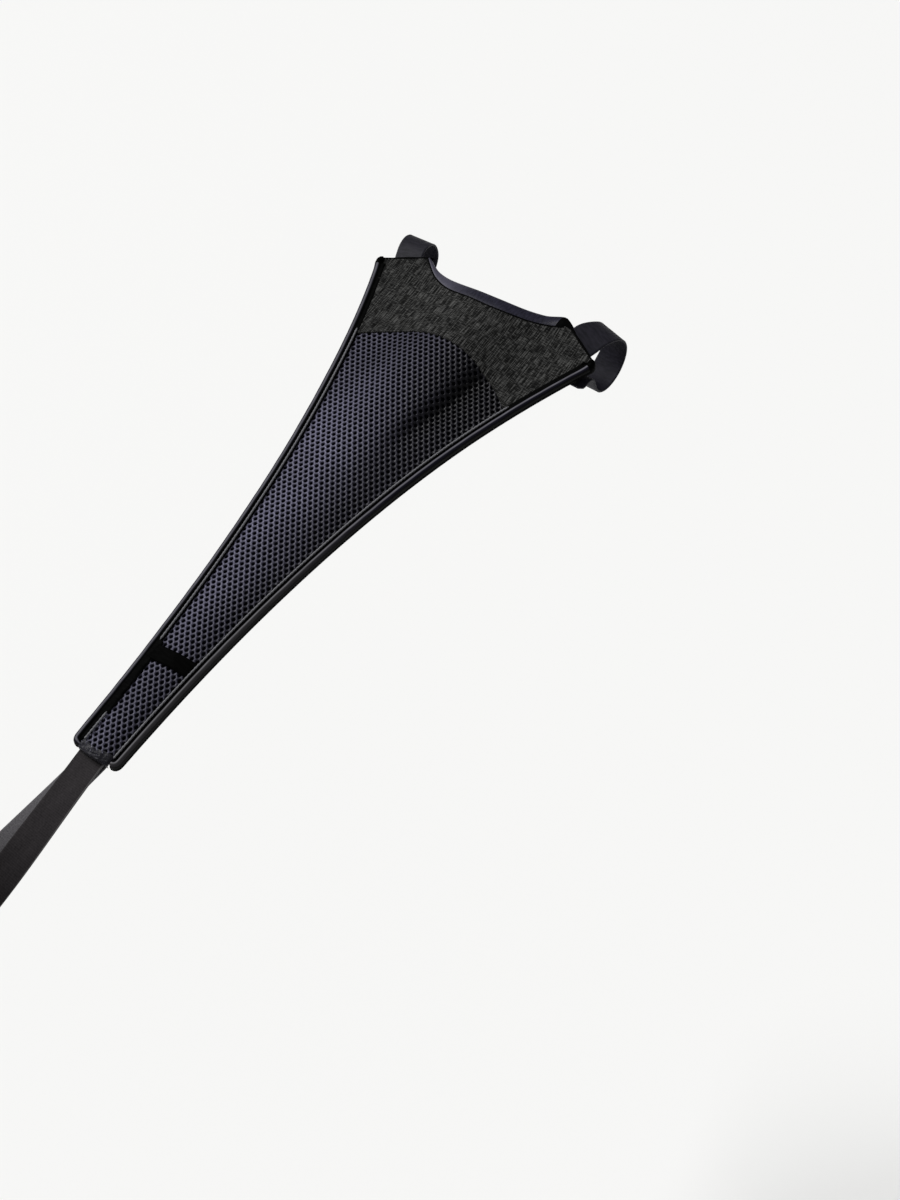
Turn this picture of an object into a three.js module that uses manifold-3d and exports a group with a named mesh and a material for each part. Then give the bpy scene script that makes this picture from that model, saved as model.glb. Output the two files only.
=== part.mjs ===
// A bicycle sweat guard: a tapering cloth bib that is strapped between a drop handlebar and the seat post.
// Local frame while modelling: x across, y forwards along the guard, z away from its face.
// The whole guard is then tilted about the handlebar axis, which is the origin.
import * as THREE from 'three';
import { mergeVertices } from 'three/addons/utils/BufferGeometryUtils.js';
import Module from 'manifold-3d';

// What the guard is fastened to, in millimetres and degrees
const BAR_DIAMETER = 31.8;
const POST_DIAMETER = 31.6;
const POST_DISTANCE = 600;
const SLOPE_DEG = 19.2;

// Outline of the guard: half widths, and distances down the guard from the bar's axis
const SHOULDER_HALF_WIDTH = 83.5;
const SHOULDER_DISTANCE = 17.7;
const HORN_HALF_WIDTH = 52;
const HORN_DISTANCE = 1.5;
const NECK_DISTANCE = 11.5;
const TAIL_HALF_WIDTH = 17.4;
const TAIL_DISTANCE = 386;
const SIDE_PULL_HALF_WIDTH = 21.4;
const SIDE_PULL_DISTANCE = 163;
const SHOULDER_RADIUS = 5;
const TAIL_RADIUS = 6;
const NECK_PULL = 0.4;
const HORN_PULL = 0.8;
const HORN_PULL_DEPTH = 0.45;

// Cloth layers, from the back of the guard to its face
const LINING_THICKNESS = 0.8;
const PANEL_THICKNESS = 2.5;
const LAYER_GAP = 0.3;
const EDGE_INSET = 1.5;

// How the cloth lies: it sits over the bar straps, is lifted in the middle by the stem under it,
// and falls away towards its tail
const PANEL_DROP = 3.4;
const BAR_RISE = 4.2;
const BAR_RISE_LENGTH = 30;
const RIDGE_HEIGHT = 8;
const RIDGE_TAIL_HEIGHT = 2.4;
const RIDGE_DISTANCE = 60;
const RIDGE_LENGTH = 90;
const RIDGE_SPREAD = 32;
const RIDGE_TAIL_SPREAD = 11;
const RIDGE_POWER = 2.6;
const RIDGE_OFFSET = 2;
const TAIL_FALL = 12.9;

// Arched seam between the yoke and the mesh
const SEAM_DISTANCE = 55;
const SEAM_RADIUS = 90;

// Mesh: columns of long gaps between raised lengthwise ridges
const MESH_COLUMN = 7;
const MESH_ROW = 20;
const GAP_HALF_WIDTH = 2.1;
const GAP_HALF_LENGTH = 6;
const GAP_MARGIN = 3.2;
const RIDGE_RELIEF = 0.5;

// Edge bindings
const BINDING_THICKNESS = 0.9;
const BINDING_TOP_LEG = 6.5;
const BINDING_UNDER_LEG = 3.6;
const BEAD_WIDTH = 4.4;
const BEAD_PROUD = 0.5;
const BEAD_CROWN_START = 1.3;
const BEAD_CROWN_END = 3.3;
const GROOVE_DEPTH = 0.3;
const BINDING_START = 6;

// Label sewn across the mesh
const LABEL_DISTANCE = 311;
const LABEL_LENGTH = 10;
const LABEL_THICKNESS = 0.5;

// Straps and their fastenings
const BAR_STRAP_WIDTH = 18.5;
const TAIL_STRAP_WIDTH = 18;
const STRAP_THICKNESS = 1.4;
const STRAP_PLAY = 0.3;
const BAR_STRAP_ROOT = 29;
const BAR_STRAP_BREAK = 14;
const BAR_STRAP_RETURN = 19;
const BAR_STRAP_END = 31;
const BAR_STRAP_BEND = 6;
const RIGHT_STRAP = { side: 1, inset: 20, shift: 11 };
const LEFT_STRAP = { side: -1, inset: 18.6, shift: 6.5 };
const TAIL_STRAP_ROOT = 362;
const TAIL_STRAP_OFFSET = -2;
const TAIL_STRAP_TWIST_START = 394;
const TAIL_STRAP_TWIST_LENGTH = 180;
const POST_LOOP_LEVEL = -6;
const PATCH_THICKNESS = 0.9;
const BAR_PATCH_LENGTH = 11;
const TAIL_PATCH_LENGTH = 21;
const PATCH_MARGIN = 1;

// Worked out from the sizes above
const BAR_RADIUS = BAR_DIAMETER / 2;
const STRAP_LINE_RADIUS = BAR_RADIUS + STRAP_PLAY + STRAP_THICKNESS / 2;
const PANEL_LEVEL = STRAP_LINE_RADIUS + STRAP_THICKNESS / 2 + LAYER_GAP - PANEL_DROP;
const POST_LINE_RADIUS = POST_DIAMETER / 2 + STRAP_PLAY + STRAP_THICKNESS / 2;
const PANEL_BOTTOM = LINING_THICKNESS + LAYER_GAP;
const PANEL_TOP = PANEL_BOTTOM + PANEL_THICKNESS;
const COVER_BOTTOM = PANEL_TOP + LAYER_GAP;
const ROOT_DEPTH = LAYER_GAP + STRAP_THICKNESS / 2;
const PATCH_STEP = PATCH_THICKNESS + LAYER_GAP;
const RETURN_DEPTH = ROOT_DEPTH + STRAP_THICKNESS + LAYER_GAP + 2 * PATCH_STEP;

const wasm = await Module();
wasm.setup();

// Height of the lining's underside over the bar's axis, at x across and s down the guard
function level(x, s) {
  const rise = BAR_RISE * Math.max(0, 1 - s / BAR_RISE_LENGTH) ** 2;
  const fall = TAIL_FALL * (s / TAIL_DISTANCE) ** 2;
  const along = Math.exp(-(((s - RIDGE_DISTANCE) / RIDGE_LENGTH) ** 2));
  const narrowing = THREE.MathUtils.smoothstep(s, RIDGE_DISTANCE, TAIL_DISTANCE);
  const spread = THREE.MathUtils.lerp(RIDGE_SPREAD, RIDGE_TAIL_SPREAD, narrowing);
  const across = Math.exp(-(Math.abs((x - RIDGE_OFFSET) / spread) ** RIDGE_POWER));
  return PANEL_LEVEL + rise - fall + (RIDGE_HEIGHT * along + RIDGE_TAIL_HEIGHT) * across;
}

// A point of the guard, at x across, s down the guard and lift over the lining's underside
function onGuard(x, s, lift) {
  return new THREE.Vector3(x, -s, level(x, s) + lift);
}

// Booleans between closed geometries
function solidOf(geometry) {
  const bare = geometry.clone();
  bare.deleteAttribute('normal');
  bare.deleteAttribute('uv');
  const merged = mergeVertices(bare, 1e-4);
  const vertProperties = new Float32Array(merged.attributes.position.array);
  const triVerts = new Uint32Array(merged.index.array);
  return new wasm.Manifold(new wasm.Mesh({ numProp: 3, vertProperties, triVerts }));
}

function geometryOf(solid) {
  const mesh = solid.getMesh();
  const geometry = new THREE.BufferGeometry();
  geometry.setAttribute('position', new THREE.BufferAttribute(new Float32Array(mesh.vertProperties), 3));
  geometry.setIndex(new THREE.BufferAttribute(new Uint32Array(mesh.triVerts), 1));
  geometry.computeVertexNormals();
  return geometry;
}

// A closed body through a row of equal sections, with flat ends; each section is a list of points.
// The faces are turned outwards, whichever way the sections run.
function loft(sections, outline) {
  const count = outline.length;
  const positions = sections.flat().flatMap((point) => [point.x, point.y, point.z]);
  const index = [];
  for (let row = 0; row < sections.length - 1; row += 1) {
    for (let k = 0; k < count; k += 1) {
      const a = row * count + k;
      const b = row * count + ((k + 1) % count);
      index.push(a, b, a + count, b, b + count, a + count);
    }
  }
  const last = (sections.length - 1) * count;
  for (const [a, b, c] of THREE.ShapeUtils.triangulateShape(outline, [])) {
    index.push(a, c, b, last + a, last + b, last + c);
  }
  const points = sections.flat();
  let volume = 0;
  for (let k = 0; k < index.length; k += 3) {
    const [a, b, c] = [points[index[k]], points[index[k + 1]], points[index[k + 2]]];
    volume += a.dot(b.clone().cross(c));
  }
  const geometry = new THREE.BufferGeometry();
  geometry.setAttribute('position', new THREE.Float32BufferAttribute(positions, 3));
  geometry.setIndex(volume > 0 ? index : index.reverse());
  return geometry;
}

// Outline of the guard's right half in plan, x across and y down the guard, from the neckline to the tail
function cornerPath(path, corner, before, after, radius) {
  const inward = before.clone().sub(corner).setLength(radius).add(corner);
  const outward = after.clone().sub(corner).setLength(radius).add(corner);
  path.lineTo(inward.x, inward.y);
  path.quadraticCurveTo(corner.x, corner.y, outward.x, outward.y);
}

const NECK = new THREE.Vector2(0, NECK_DISTANCE);
const HORN = new THREE.Vector2(HORN_HALF_WIDTH, HORN_DISTANCE);
const SHOULDER = new THREE.Vector2(SHOULDER_HALF_WIDTH, SHOULDER_DISTANCE);
const TAIL = new THREE.Vector2(TAIL_HALF_WIDTH, TAIL_DISTANCE);
const SIDE_PULL = new THREE.Vector2(SIDE_PULL_HALF_WIDTH, SIDE_PULL_DISTANCE);
const STRAP_EDGE = SHOULDER.clone().add(HORN.clone().sub(SHOULDER).setLength(BINDING_START));

function neckPath() {
  const path = new THREE.Path();
  const hornPullDistance = THREE.MathUtils.lerp(HORN.y, NECK.y, HORN_PULL_DEPTH);
  path.moveTo(NECK.x, NECK.y);
  path.bezierCurveTo(HORN.x * NECK_PULL, NECK.y, HORN.x * HORN_PULL, hornPullDistance, HORN.x, HORN.y);
  return path;
}

function sidePath() {
  const path = new THREE.Path();
  path.moveTo(STRAP_EDGE.x, STRAP_EDGE.y);
  cornerPath(path, SHOULDER, STRAP_EDGE, SIDE_PULL, SHOULDER_RADIUS);
  const near = TAIL.clone().sub(new THREE.Vector2(0, TAIL_RADIUS));
  path.quadraticCurveTo(SIDE_PULL.x, SIDE_PULL.y, near.x, near.y);
  path.quadraticCurveTo(TAIL.x, TAIL.y, TAIL.x - TAIL_RADIUS, TAIL.y);
  return path;
}

// The points of a row without those that repeat the one before
function distinct(points) {
  return points.filter((point, k) => k === 0 || point.distanceTo(points[k - 1]) > 0.01);
}

// Points of a path with the direction into the guard at each of them
function walk(path, divisions) {
  const points = distinct(path.getPoints(divisions));
  return points.map((point, k) => {
    const ahead = points[Math.min(k + 1, points.length - 1)];
    const behind = points[Math.max(k - 1, 0)];
    const run = ahead.clone().sub(behind).normalize();
    return { point, inward: new THREE.Vector2(-run.y, run.x) };
  });
}

const NECK_DIVISIONS = 10;
const SIDE_DIVISIONS = 26;
const NECK_WALK = walk(neckPath(), NECK_DIVISIONS);
const SIDE_WALK = walk(sidePath(), SIDE_DIVISIONS);

// The outline moved inwards by a distance, as a prism along z that cuts a cloth layer to shape
function outlinePrism(inset) {
  const walks = [...NECK_WALK, ...SIDE_WALK];
  const rims = walks.map(({ point, inward }) => point.clone().addScaledVector(inward, inset));
  const right = rims.filter((p) => p.x > 0.01);
  const left = right.map((p) => new THREE.Vector2(-p.x, p.y)).reverse();
  return prism([new THREE.Vector2(0, NECK.y + inset), ...right, ...left]);
}

const PRISM_DEPTH = 4 * (BAR_RADIUS + RIDGE_HEIGHT);

// A prism along z over a plan outline given as x across and y down the guard
function prism(points) {
  const shape = new THREE.Shape(points.map((p) => new THREE.Vector2(p.x, -p.y)));
  const geometry = new THREE.ExtrudeGeometry(shape, { depth: PRISM_DEPTH, bevelEnabled: false });
  return solidOf(geometry.translate(0, 0, PANEL_LEVEL - PRISM_DEPTH / 2));
}

// A sheet of cloth over the whole guard, between two lifts, laid on the guard's curved surface.
// Its rows stand closer together at the neckline, where the surface bends most.
const SHEET_MARGIN = 6;
const SHEET_ROWS = 26;
const SHEET_ROW_CROWDING = 1.6;
const SHEET_COLUMNS = 2 * Math.ceil((SHOULDER_HALF_WIDTH + SHEET_MARGIN) / MESH_COLUMN);

function sheet(bottom, top, relief = 0) {
  const geometry = new THREE.BoxGeometry(SHEET_COLUMNS, 1, 1, SHEET_COLUMNS, SHEET_ROWS, 1);
  const position = geometry.attributes.position;
  const start = HORN_DISTANCE - SHEET_MARGIN;
  const length = TAIL_DISTANCE + SHEET_MARGIN - start;
  for (let k = 0; k < position.count; k += 1) {
    const column = Math.round(position.getX(k));
    const along = start + length * (0.5 - position.getY(k)) ** SHEET_ROW_CROWDING;
    const isTop = position.getZ(k) > 0;
    const valley = isTop && column % 2 !== 0 ? relief : 0;
    const place = onGuard(column * MESH_COLUMN, along, (isTop ? top : bottom) - valley);
    position.setXYZ(k, place.x, place.y, place.z);
  }
  return solidOf(geometry);
}

// The region below the arched seam, moved down the guard by a gap
const SEAM_DIVISIONS = 24;

function belowSeam(gap) {
  const bottom = TAIL_DISTANCE + SHEET_MARGIN;
  const path = new THREE.Path();
  path.absarc(0, SEAM_DISTANCE + SEAM_RADIUS, SEAM_RADIUS - gap, Math.PI, 2 * Math.PI, false);
  path.lineTo(SEAM_RADIUS - gap, bottom);
  path.lineTo(gap - SEAM_RADIUS, bottom);
  return prism(distinct(path.getPoints(SEAM_DIVISIONS)));
}

// Half width of the guard in plan at a distance down it, from the side's own points
function halfWidth(s) {
  const next = SIDE_WALK.findIndex(({ point }) => point.y > s);
  const end = SIDE_WALK[next].point;
  const start = SIDE_WALK[next - 1].point;
  return THREE.MathUtils.mapLinear(s, start.y, end.y, start.x, end.x);
}

// One long six-sided gap through the mesh
function meshGap(x, s) {
  const waist = GAP_HALF_LENGTH / 2;
  return prism([
    new THREE.Vector2(x, s - GAP_HALF_LENGTH),
    new THREE.Vector2(x + GAP_HALF_WIDTH, s - waist),
    new THREE.Vector2(x + GAP_HALF_WIDTH, s + waist),
    new THREE.Vector2(x, s + GAP_HALF_LENGTH),
    new THREE.Vector2(x - GAP_HALF_WIDTH, s + waist),
    new THREE.Vector2(x - GAP_HALF_WIDTH, s - waist),
  ]);
}

// Gaps stand in columns, each column half a row away from the next, clear of the binding and the seam
function meshGaps() {
  const gaps = [];
  const columns = Math.floor(SHOULDER_HALF_WIDTH / MESH_COLUMN);
  for (let column = -columns; column <= columns; column += 1) {
    const x = column * MESH_COLUMN;
    const stagger = column % 2 === 0 ? 0 : MESH_ROW / 2;
    const arch = SEAM_RADIUS - Math.sqrt(Math.max(0, SEAM_RADIUS ** 2 - x ** 2));
    const first = SEAM_DISTANCE + arch + GAP_HALF_LENGTH + GAP_MARGIN;
    const last = TAIL_DISTANCE - TAIL_RADIUS - GAP_HALF_LENGTH;
    for (let s = SEAM_DISTANCE + stagger; s < last; s += MESH_ROW) {
      const room = halfWidth(s + GAP_HALF_LENGTH) - BINDING_TOP_LEG - Math.abs(x);
      if (s > first && room > GAP_HALF_WIDTH + GAP_MARGIN / 2) {
        gaps.push(meshGap(x, s));
      }
    }
  }
  return gaps;
}

// Binding: a tape folded round the cloth's edge, with a rolled bead outside it and a leg on each face.
// Section points are the distance in from the outer edge and the lift over the lining's underside.
function bindingSection() {
  const top = COVER_BOTTOM + BINDING_THICKNESS;
  const under = -LAYER_GAP - BINDING_THICKNESS;
  const wall = EDGE_INSET - LAYER_GAP;
  const round = (top - under) / 4;
  return [
    new THREE.Vector2(BINDING_TOP_LEG, COVER_BOTTOM),
    new THREE.Vector2(BINDING_TOP_LEG, top),
    new THREE.Vector2(BEAD_WIDTH, top - GROOVE_DEPTH),
    new THREE.Vector2(BEAD_CROWN_END, top + BEAD_PROUD),
    new THREE.Vector2(BEAD_CROWN_START, top + BEAD_PROUD),
    new THREE.Vector2(0, top - round),
    new THREE.Vector2(0, under + round),
    new THREE.Vector2(BEAD_CROWN_START, under),
    new THREE.Vector2(BINDING_UNDER_LEG, under),
    new THREE.Vector2(BINDING_UNDER_LEG, -LAYER_GAP),
    new THREE.Vector2(wall, -LAYER_GAP),
    new THREE.Vector2(wall, COVER_BOTTOM),
  ];
}

function binding(stations, side) {
  const section = bindingSection();
  const rows = stations.map(({ point, inward }) =>
    section.map((at) => {
      const spot = point.clone().addScaledVector(inward, at.x);
      return onGuard(side * spot.x, spot.y, at.y);
    }),
  );
  return loft(rows, section);
}

function neckBinding() {
  const right = NECK_WALK.slice(1);
  const left = right.map(({ point, inward }) => ({
    point: new THREE.Vector2(-point.x, point.y),
    inward: new THREE.Vector2(-inward.x, inward.y),
  }));
  const middle = { point: NECK.clone(), inward: new THREE.Vector2(0, 1) };
  return binding([...left.reverse(), middle, ...right], 1);
}

// Ribbon: a flat band along a row of stations, each with a centre, a direction across and a face direction
function ribbon(stations, width) {
  const w = width / 2;
  const t = STRAP_THICKNESS / 2;
  const outline = [[-w, -t], [w, -t], [w, t], [-w, t]].map(([x, y]) => new THREE.Vector2(x, y));
  const rows = stations.map(({ centre, across, face }) =>
    outline.map((at) => centre.clone().addScaledVector(across, at.x).addScaledVector(face, at.y)),
  );
  return loft(rows, outline);
}

// The lowest height of the cloth over a strap's width, where the strap lies under it
function levelOver(x, s, width) {
  return Math.min(level(x - width / 2, s), level(x, s), level(x + width / 2, s));
}

// Side view of a bar strap's middle line, x down the guard and y away from it: under the cloth, over the
// bar, round its front and underside, and back up under its own root
function barStrapLine(centre) {
  const rootLevel = (s) => levelOver(centre, s, BAR_STRAP_WIDTH) - ROOT_DEPTH;
  const rootEnd = new THREE.Vector2(BAR_STRAP_ROOT, rootLevel(BAR_STRAP_ROOT));
  const leave = new THREE.Vector2(BAR_STRAP_BREAK, rootLevel(BAR_STRAP_BREAK));
  const back = levelOver(centre, BAR_STRAP_END, BAR_STRAP_WIDTH) - RETURN_DEPTH;
  const turn = new THREE.Vector2(BAR_STRAP_RETURN, back);
  const end = new THREE.Vector2(BAR_STRAP_END, back);
  const swing = (point) => Math.acos(STRAP_LINE_RADIUS / point.length());
  const upper = leave.angle() + swing(leave);
  const lower = turn.angle() - swing(turn) - 2 * Math.PI * (turn.y < 0);
  const contact = (angle) => new THREE.Vector2(STRAP_LINE_RADIUS, 0).rotateAround(new THREE.Vector2(), angle);
  const line = new THREE.CurvePath();
  line.add(new THREE.LineCurve(rootEnd, leave));
  line.add(new THREE.LineCurve(leave, contact(upper)));
  line.add(new THREE.EllipseCurve(0, 0, STRAP_LINE_RADIUS, STRAP_LINE_RADIUS, upper, lower + 2 * Math.PI));
  const before = contact(lower).sub(turn).setLength(BAR_STRAP_BEND).add(turn);
  const after = end.clone().sub(turn).setLength(BAR_STRAP_BEND).add(turn);
  line.add(new THREE.LineCurve(contact(lower), before));
  line.add(new THREE.QuadraticBezierCurve(before, turn, after));
  line.add(new THREE.LineCurve(after, end));
  return line;
}

// Stations of a bar strap; the strap moves outwards as it crosses the bar
const STRAP_DIVISIONS = 10;

function barStrapStations({ side, inset, shift }) {
  const root = SHOULDER_HALF_WIDTH - inset;
  const points = distinct(barStrapLine(side * root).getPoints(STRAP_DIVISIONS));
  const frontLength = BAR_STRAP_ROOT + (STRAP_LINE_RADIUS * Math.PI) / 2;
  let run = 0;
  const centres = points.map((p, k) => {
    run += k === 0 ? 0 : p.distanceTo(points[k - 1]);
    const t = THREE.MathUtils.clamp((run - BAR_STRAP_BREAK) / (frontLength - BAR_STRAP_BREAK), 0, 1);
    return new THREE.Vector3(side * (root + shift * (1 - (1 - t) ** 2)), -p.x, p.y);
  });
  return centres.map((centre, k) => {
    const ahead = centres[Math.min(k + 1, centres.length - 1)];
    const behind = centres[Math.max(k - 1, 0)];
    const tangent = ahead.clone().sub(behind).normalize();
    const flat = new THREE.Vector3(0, tangent.y, tangent.z).normalize();
    const face = new THREE.Vector3(0, -flat.z, flat.y);
    const across = new THREE.Vector3().crossVectors(face, tangent).normalize().negate();
    return { centre, across, face: new THREE.Vector3().crossVectors(tangent, across).normalize() };
  });
}

// Stations of one run of the tail strap, from the tail to the post; it twists on to its edge on the way
const TAIL_RUN_DIVISIONS = 24;
const TAIL_TURN_DIVISIONS = 16;

function tailRun(sign, depth) {
  const twistEnd = TAIL_STRAP_TWIST_START + TAIL_STRAP_TWIST_LENGTH;
  const stations = [];
  for (let k = 0; k < TAIL_RUN_DIVISIONS; k += 1) {
    const s = THREE.MathUtils.lerp(TAIL_STRAP_ROOT, POST_DISTANCE, k / TAIL_RUN_DIVISIONS);
    const angle = (THREE.MathUtils.smoothstep(s, TAIL_STRAP_TWIST_START, twistEnd) * Math.PI) / 2;
    const spread = Math.max(0, (s - TAIL_DISTANCE) / (POST_DISTANCE - TAIL_DISTANCE));
    const underCloth = levelOver(TAIL_STRAP_OFFSET, Math.min(s, TAIL_DISTANCE), TAIL_STRAP_WIDTH) - depth;
    const height = THREE.MathUtils.lerp(underCloth, POST_LOOP_LEVEL, spread);
    const sideways = THREE.MathUtils.lerp(TAIL_STRAP_OFFSET, sign * POST_LINE_RADIUS, spread);
    stations.push({
      centre: new THREE.Vector3(sideways, -s, height),
      across: new THREE.Vector3(Math.cos(angle), 0, -Math.sin(angle)),
      face: new THREE.Vector3(Math.sin(angle), 0, Math.cos(angle)),
    });
  }
  return stations;
}

// The whole tail strap: out along the right of the post, round behind it and back along the left
function tailStrapStations() {
  const out = tailRun(1, ROOT_DEPTH);
  const home = tailRun(-1, RETURN_DEPTH).reverse().map(({ centre, across, face }) => ({
    centre,
    across,
    face: face.clone().negate(),
  }));
  const round = [];
  for (let k = 0; k <= TAIL_TURN_DIVISIONS; k += 1) {
    const angle = (Math.PI * k) / TAIL_TURN_DIVISIONS;
    const radial = new THREE.Vector3(Math.cos(angle), -Math.sin(angle), 0);
    const centre = radial.clone().multiplyScalar(POST_LINE_RADIUS);
    centre.add(new THREE.Vector3(0, -POST_DISTANCE, POST_LOOP_LEVEL));
    round.push({ centre, across: new THREE.Vector3(0, 0, -1), face: radial });
  }
  return [...out, ...round, ...home];
}

// A fastening patch under the guard, which follows the cloth above it
const PATCH_ROWS = 3;

function patch(x, s, depth, width, length) {
  const geometry = new THREE.BoxGeometry(width, length, PATCH_THICKNESS, 1, PATCH_ROWS, 1).translate(x, -s, 0);
  const position = geometry.attributes.position;
  for (let k = 0; k < position.count; k += 1) {
    const middle = levelOver(x, -position.getY(k), width) - depth - PATCH_THICKNESS / 2;
    position.setZ(k, middle + position.getZ(k));
  }
  return geometry;
}

// Materials, with the colours that the cloth shows
const cloth = (color, roughness) => new THREE.MeshStandardMaterial({ color, roughness, metalness: 0 });
const heather = cloth(0x2d2d2b, 0.95);
const netting = cloth(0x34333f, 0.9);
const liningCloth = cloth(0x191920, 0.9);
const satin = cloth(0x3f3f45, 0.55);
const label = cloth(0x121214, 0.6);
const strapCloth = cloth(0x2c2b36, 0.75);
const webbing = cloth(0x2b292b, 0.85);
const hookTape = cloth(0x1a1a1c, 0.9);
const loopTape = cloth(0x222226, 1);

const guard = new THREE.Group();
guard.rotation.x = THREE.MathUtils.degToRad(SLOPE_DEG);

function addPiece(name, geometry, material) {
  const mesh = new THREE.Mesh(geometry, material);
  mesh.name = name;
  guard.add(mesh);
}

// Cloth panels
const clothOutline = outlinePrism(EDGE_INSET);
const liningSheet = sheet(0, LINING_THICKNESS).intersect(clothOutline);
addPiece('back_lining', geometryOf(liningSheet), liningCloth);

const yokeSheet = sheet(PANEL_BOTTOM, PANEL_TOP).intersect(clothOutline).subtract(belowSeam(0));
addPiece('yoke_panel', geometryOf(yokeSheet), heather);

const meshOutline = clothOutline.intersect(belowSeam(LAYER_GAP));
let meshSheet = sheet(PANEL_BOTTOM, PANEL_TOP, RIDGE_RELIEF).intersect(meshOutline);
for (const gap of meshGaps()) {
  meshSheet = meshSheet.subtract(gap);
}
addPiece('mesh_panel', geometryOf(meshSheet), netting);

// Label across the mesh, between the two bindings
const labelHalf = halfWidth(LABEL_DISTANCE + LABEL_LENGTH) - BINDING_TOP_LEG - 2 * LAYER_GAP;
const labelOutline = prism([
  new THREE.Vector2(-labelHalf, LABEL_DISTANCE),
  new THREE.Vector2(labelHalf, LABEL_DISTANCE),
  new THREE.Vector2(labelHalf, LABEL_DISTANCE + LABEL_LENGTH),
  new THREE.Vector2(-labelHalf, LABEL_DISTANCE + LABEL_LENGTH),
]);
const labelSheet = sheet(COVER_BOTTOM, COVER_BOTTOM + LABEL_THICKNESS).intersect(labelOutline);
addPiece('label_tab', geometryOf(labelSheet), label);

// Bindings
addPiece('edge_binding_right', binding(SIDE_WALK, 1), satin);
addPiece('edge_binding_left', binding(SIDE_WALK, -1), satin);
addPiece('neckline_binding', neckBinding(), satin);

// Bar straps and their patches
for (const [name, strap] of Object.entries({ right: RIGHT_STRAP, left: LEFT_STRAP })) {
  addPiece(`bar_strap_${name}`, ribbon(barStrapStations(strap), BAR_STRAP_WIDTH), strapCloth);
  const x = strap.side * (SHOULDER_HALF_WIDTH - strap.inset + strap.shift / 2);
  const width = BAR_STRAP_WIDTH - 2 * PATCH_MARGIN;
  const middle = BAR_STRAP_END - BAR_PATCH_LENGTH / 2 - PATCH_MARGIN;
  const loopDepth = ROOT_DEPTH + STRAP_THICKNESS / 2 + LAYER_GAP;
  addPiece(`bar_loop_patch_${name}`, patch(x, middle, loopDepth, width, BAR_PATCH_LENGTH), loopTape);
  const hookDepth = loopDepth + PATCH_STEP;
  addPiece(`bar_hook_patch_${name}`, patch(x, middle, hookDepth, width, BAR_PATCH_LENGTH), hookTape);
}

// Tail strap and its patches
addPiece('tail_strap', ribbon(tailStrapStations(), TAIL_STRAP_WIDTH), webbing);
const tailPatchMiddle = TAIL_STRAP_ROOT + TAIL_PATCH_LENGTH / 2 + PATCH_MARGIN;
const tailPatchWidth = TAIL_STRAP_WIDTH - 2 * PATCH_MARGIN;
const tailLoopDepth = ROOT_DEPTH + STRAP_THICKNESS / 2 + LAYER_GAP;
const tailPatch = (depth) =>
  patch(TAIL_STRAP_OFFSET, tailPatchMiddle, depth, tailPatchWidth, TAIL_PATCH_LENGTH);
addPiece('tail_loop_patch', tailPatch(tailLoopDepth), loopTape);
addPiece('tail_hook_patch', tailPatch(tailLoopDepth + PATCH_STEP), hookTape);

const group = new THREE.Group();
group.add(guard);

export default group;
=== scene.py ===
"""Bicycle sweat guard: cloth, bindings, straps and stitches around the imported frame."""

import cmath
import math
import random

import bpy
from mathutils import Matrix, Vector


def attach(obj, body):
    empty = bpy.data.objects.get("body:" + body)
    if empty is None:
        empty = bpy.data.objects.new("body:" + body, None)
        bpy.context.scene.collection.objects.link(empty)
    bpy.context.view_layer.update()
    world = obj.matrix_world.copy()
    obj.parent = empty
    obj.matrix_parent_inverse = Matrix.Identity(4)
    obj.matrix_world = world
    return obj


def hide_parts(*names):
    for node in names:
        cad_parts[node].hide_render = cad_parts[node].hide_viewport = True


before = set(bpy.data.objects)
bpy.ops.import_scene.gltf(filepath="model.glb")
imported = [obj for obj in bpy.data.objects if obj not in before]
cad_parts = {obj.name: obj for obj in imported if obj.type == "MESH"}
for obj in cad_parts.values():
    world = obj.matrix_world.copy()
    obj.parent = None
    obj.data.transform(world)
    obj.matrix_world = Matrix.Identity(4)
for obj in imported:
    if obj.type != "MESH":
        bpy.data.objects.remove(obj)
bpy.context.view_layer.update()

MM = 0.001

# Camera, in millimetres and degrees, with the frame 900 wide and 1200 high
CAMERA_PLACE = (510, -884.8, 659.8)
CAMERA_YAW = 31.13
CAMERA_PITCH = -42.61
CAMERA_ROLL = 8.51
FRAME_WIDTH = 900
FRAME_HEIGHT = 1200
FOCAL_LENGTH_PX = 1901.9
OPTICAL_CENTRE_PX = (419.8, 628.8)
SENSOR_MM = 36

# One soft light from the left and above
KEY_FROM = (-0.68, -0.1, 0.72)
KEY_ANGLE = 26
KEY_LIGHT = 3.2
WORLD_LIGHT = 0.3

CLIP_START = 0.01
CLIP_END = 50

FLOOR_DEPTH = 620
FLOOR_HALF_SIZE = 6000

# Sizes of the guard, the same as in its solids: millimetres, with x across and s down the guard
SLOPE_DEG = 19.2
SHOULDER = Vector((83.5, 17.7))
HORN = Vector((52, 1.5))
TAIL = Vector((17.4, 386))
SIDE_PULL = Vector((21.4, 163))
SHOULDER_RADIUS = 5
TAIL_RADIUS = 6
BINDING_START = 6
PANEL_LEVEL = 14.5
BAR_RISE = 4.2
BAR_RISE_LENGTH = 30
RIDGE_HEIGHT = 8
RIDGE_TAIL_HEIGHT = 2.4
RIDGE_DISTANCE = 60
RIDGE_LENGTH = 90
RIDGE_SPREAD = 32
RIDGE_TAIL_SPREAD = 11
RIDGE_POWER = 2.6
RIDGE_OFFSET = 2
TAIL_FALL = 12.9
SEAM_DISTANCE = 55
SEAM_RADIUS = 90
LABEL_DISTANCE = 311
LABEL_LENGTH = 10

# The cloth is pulled a little askew where the straps hold its front
PULL_START = 20
PULL_END = 120
PULL_SIDEWAYS = 1.2
PULL_SKEW = 0.012

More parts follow.
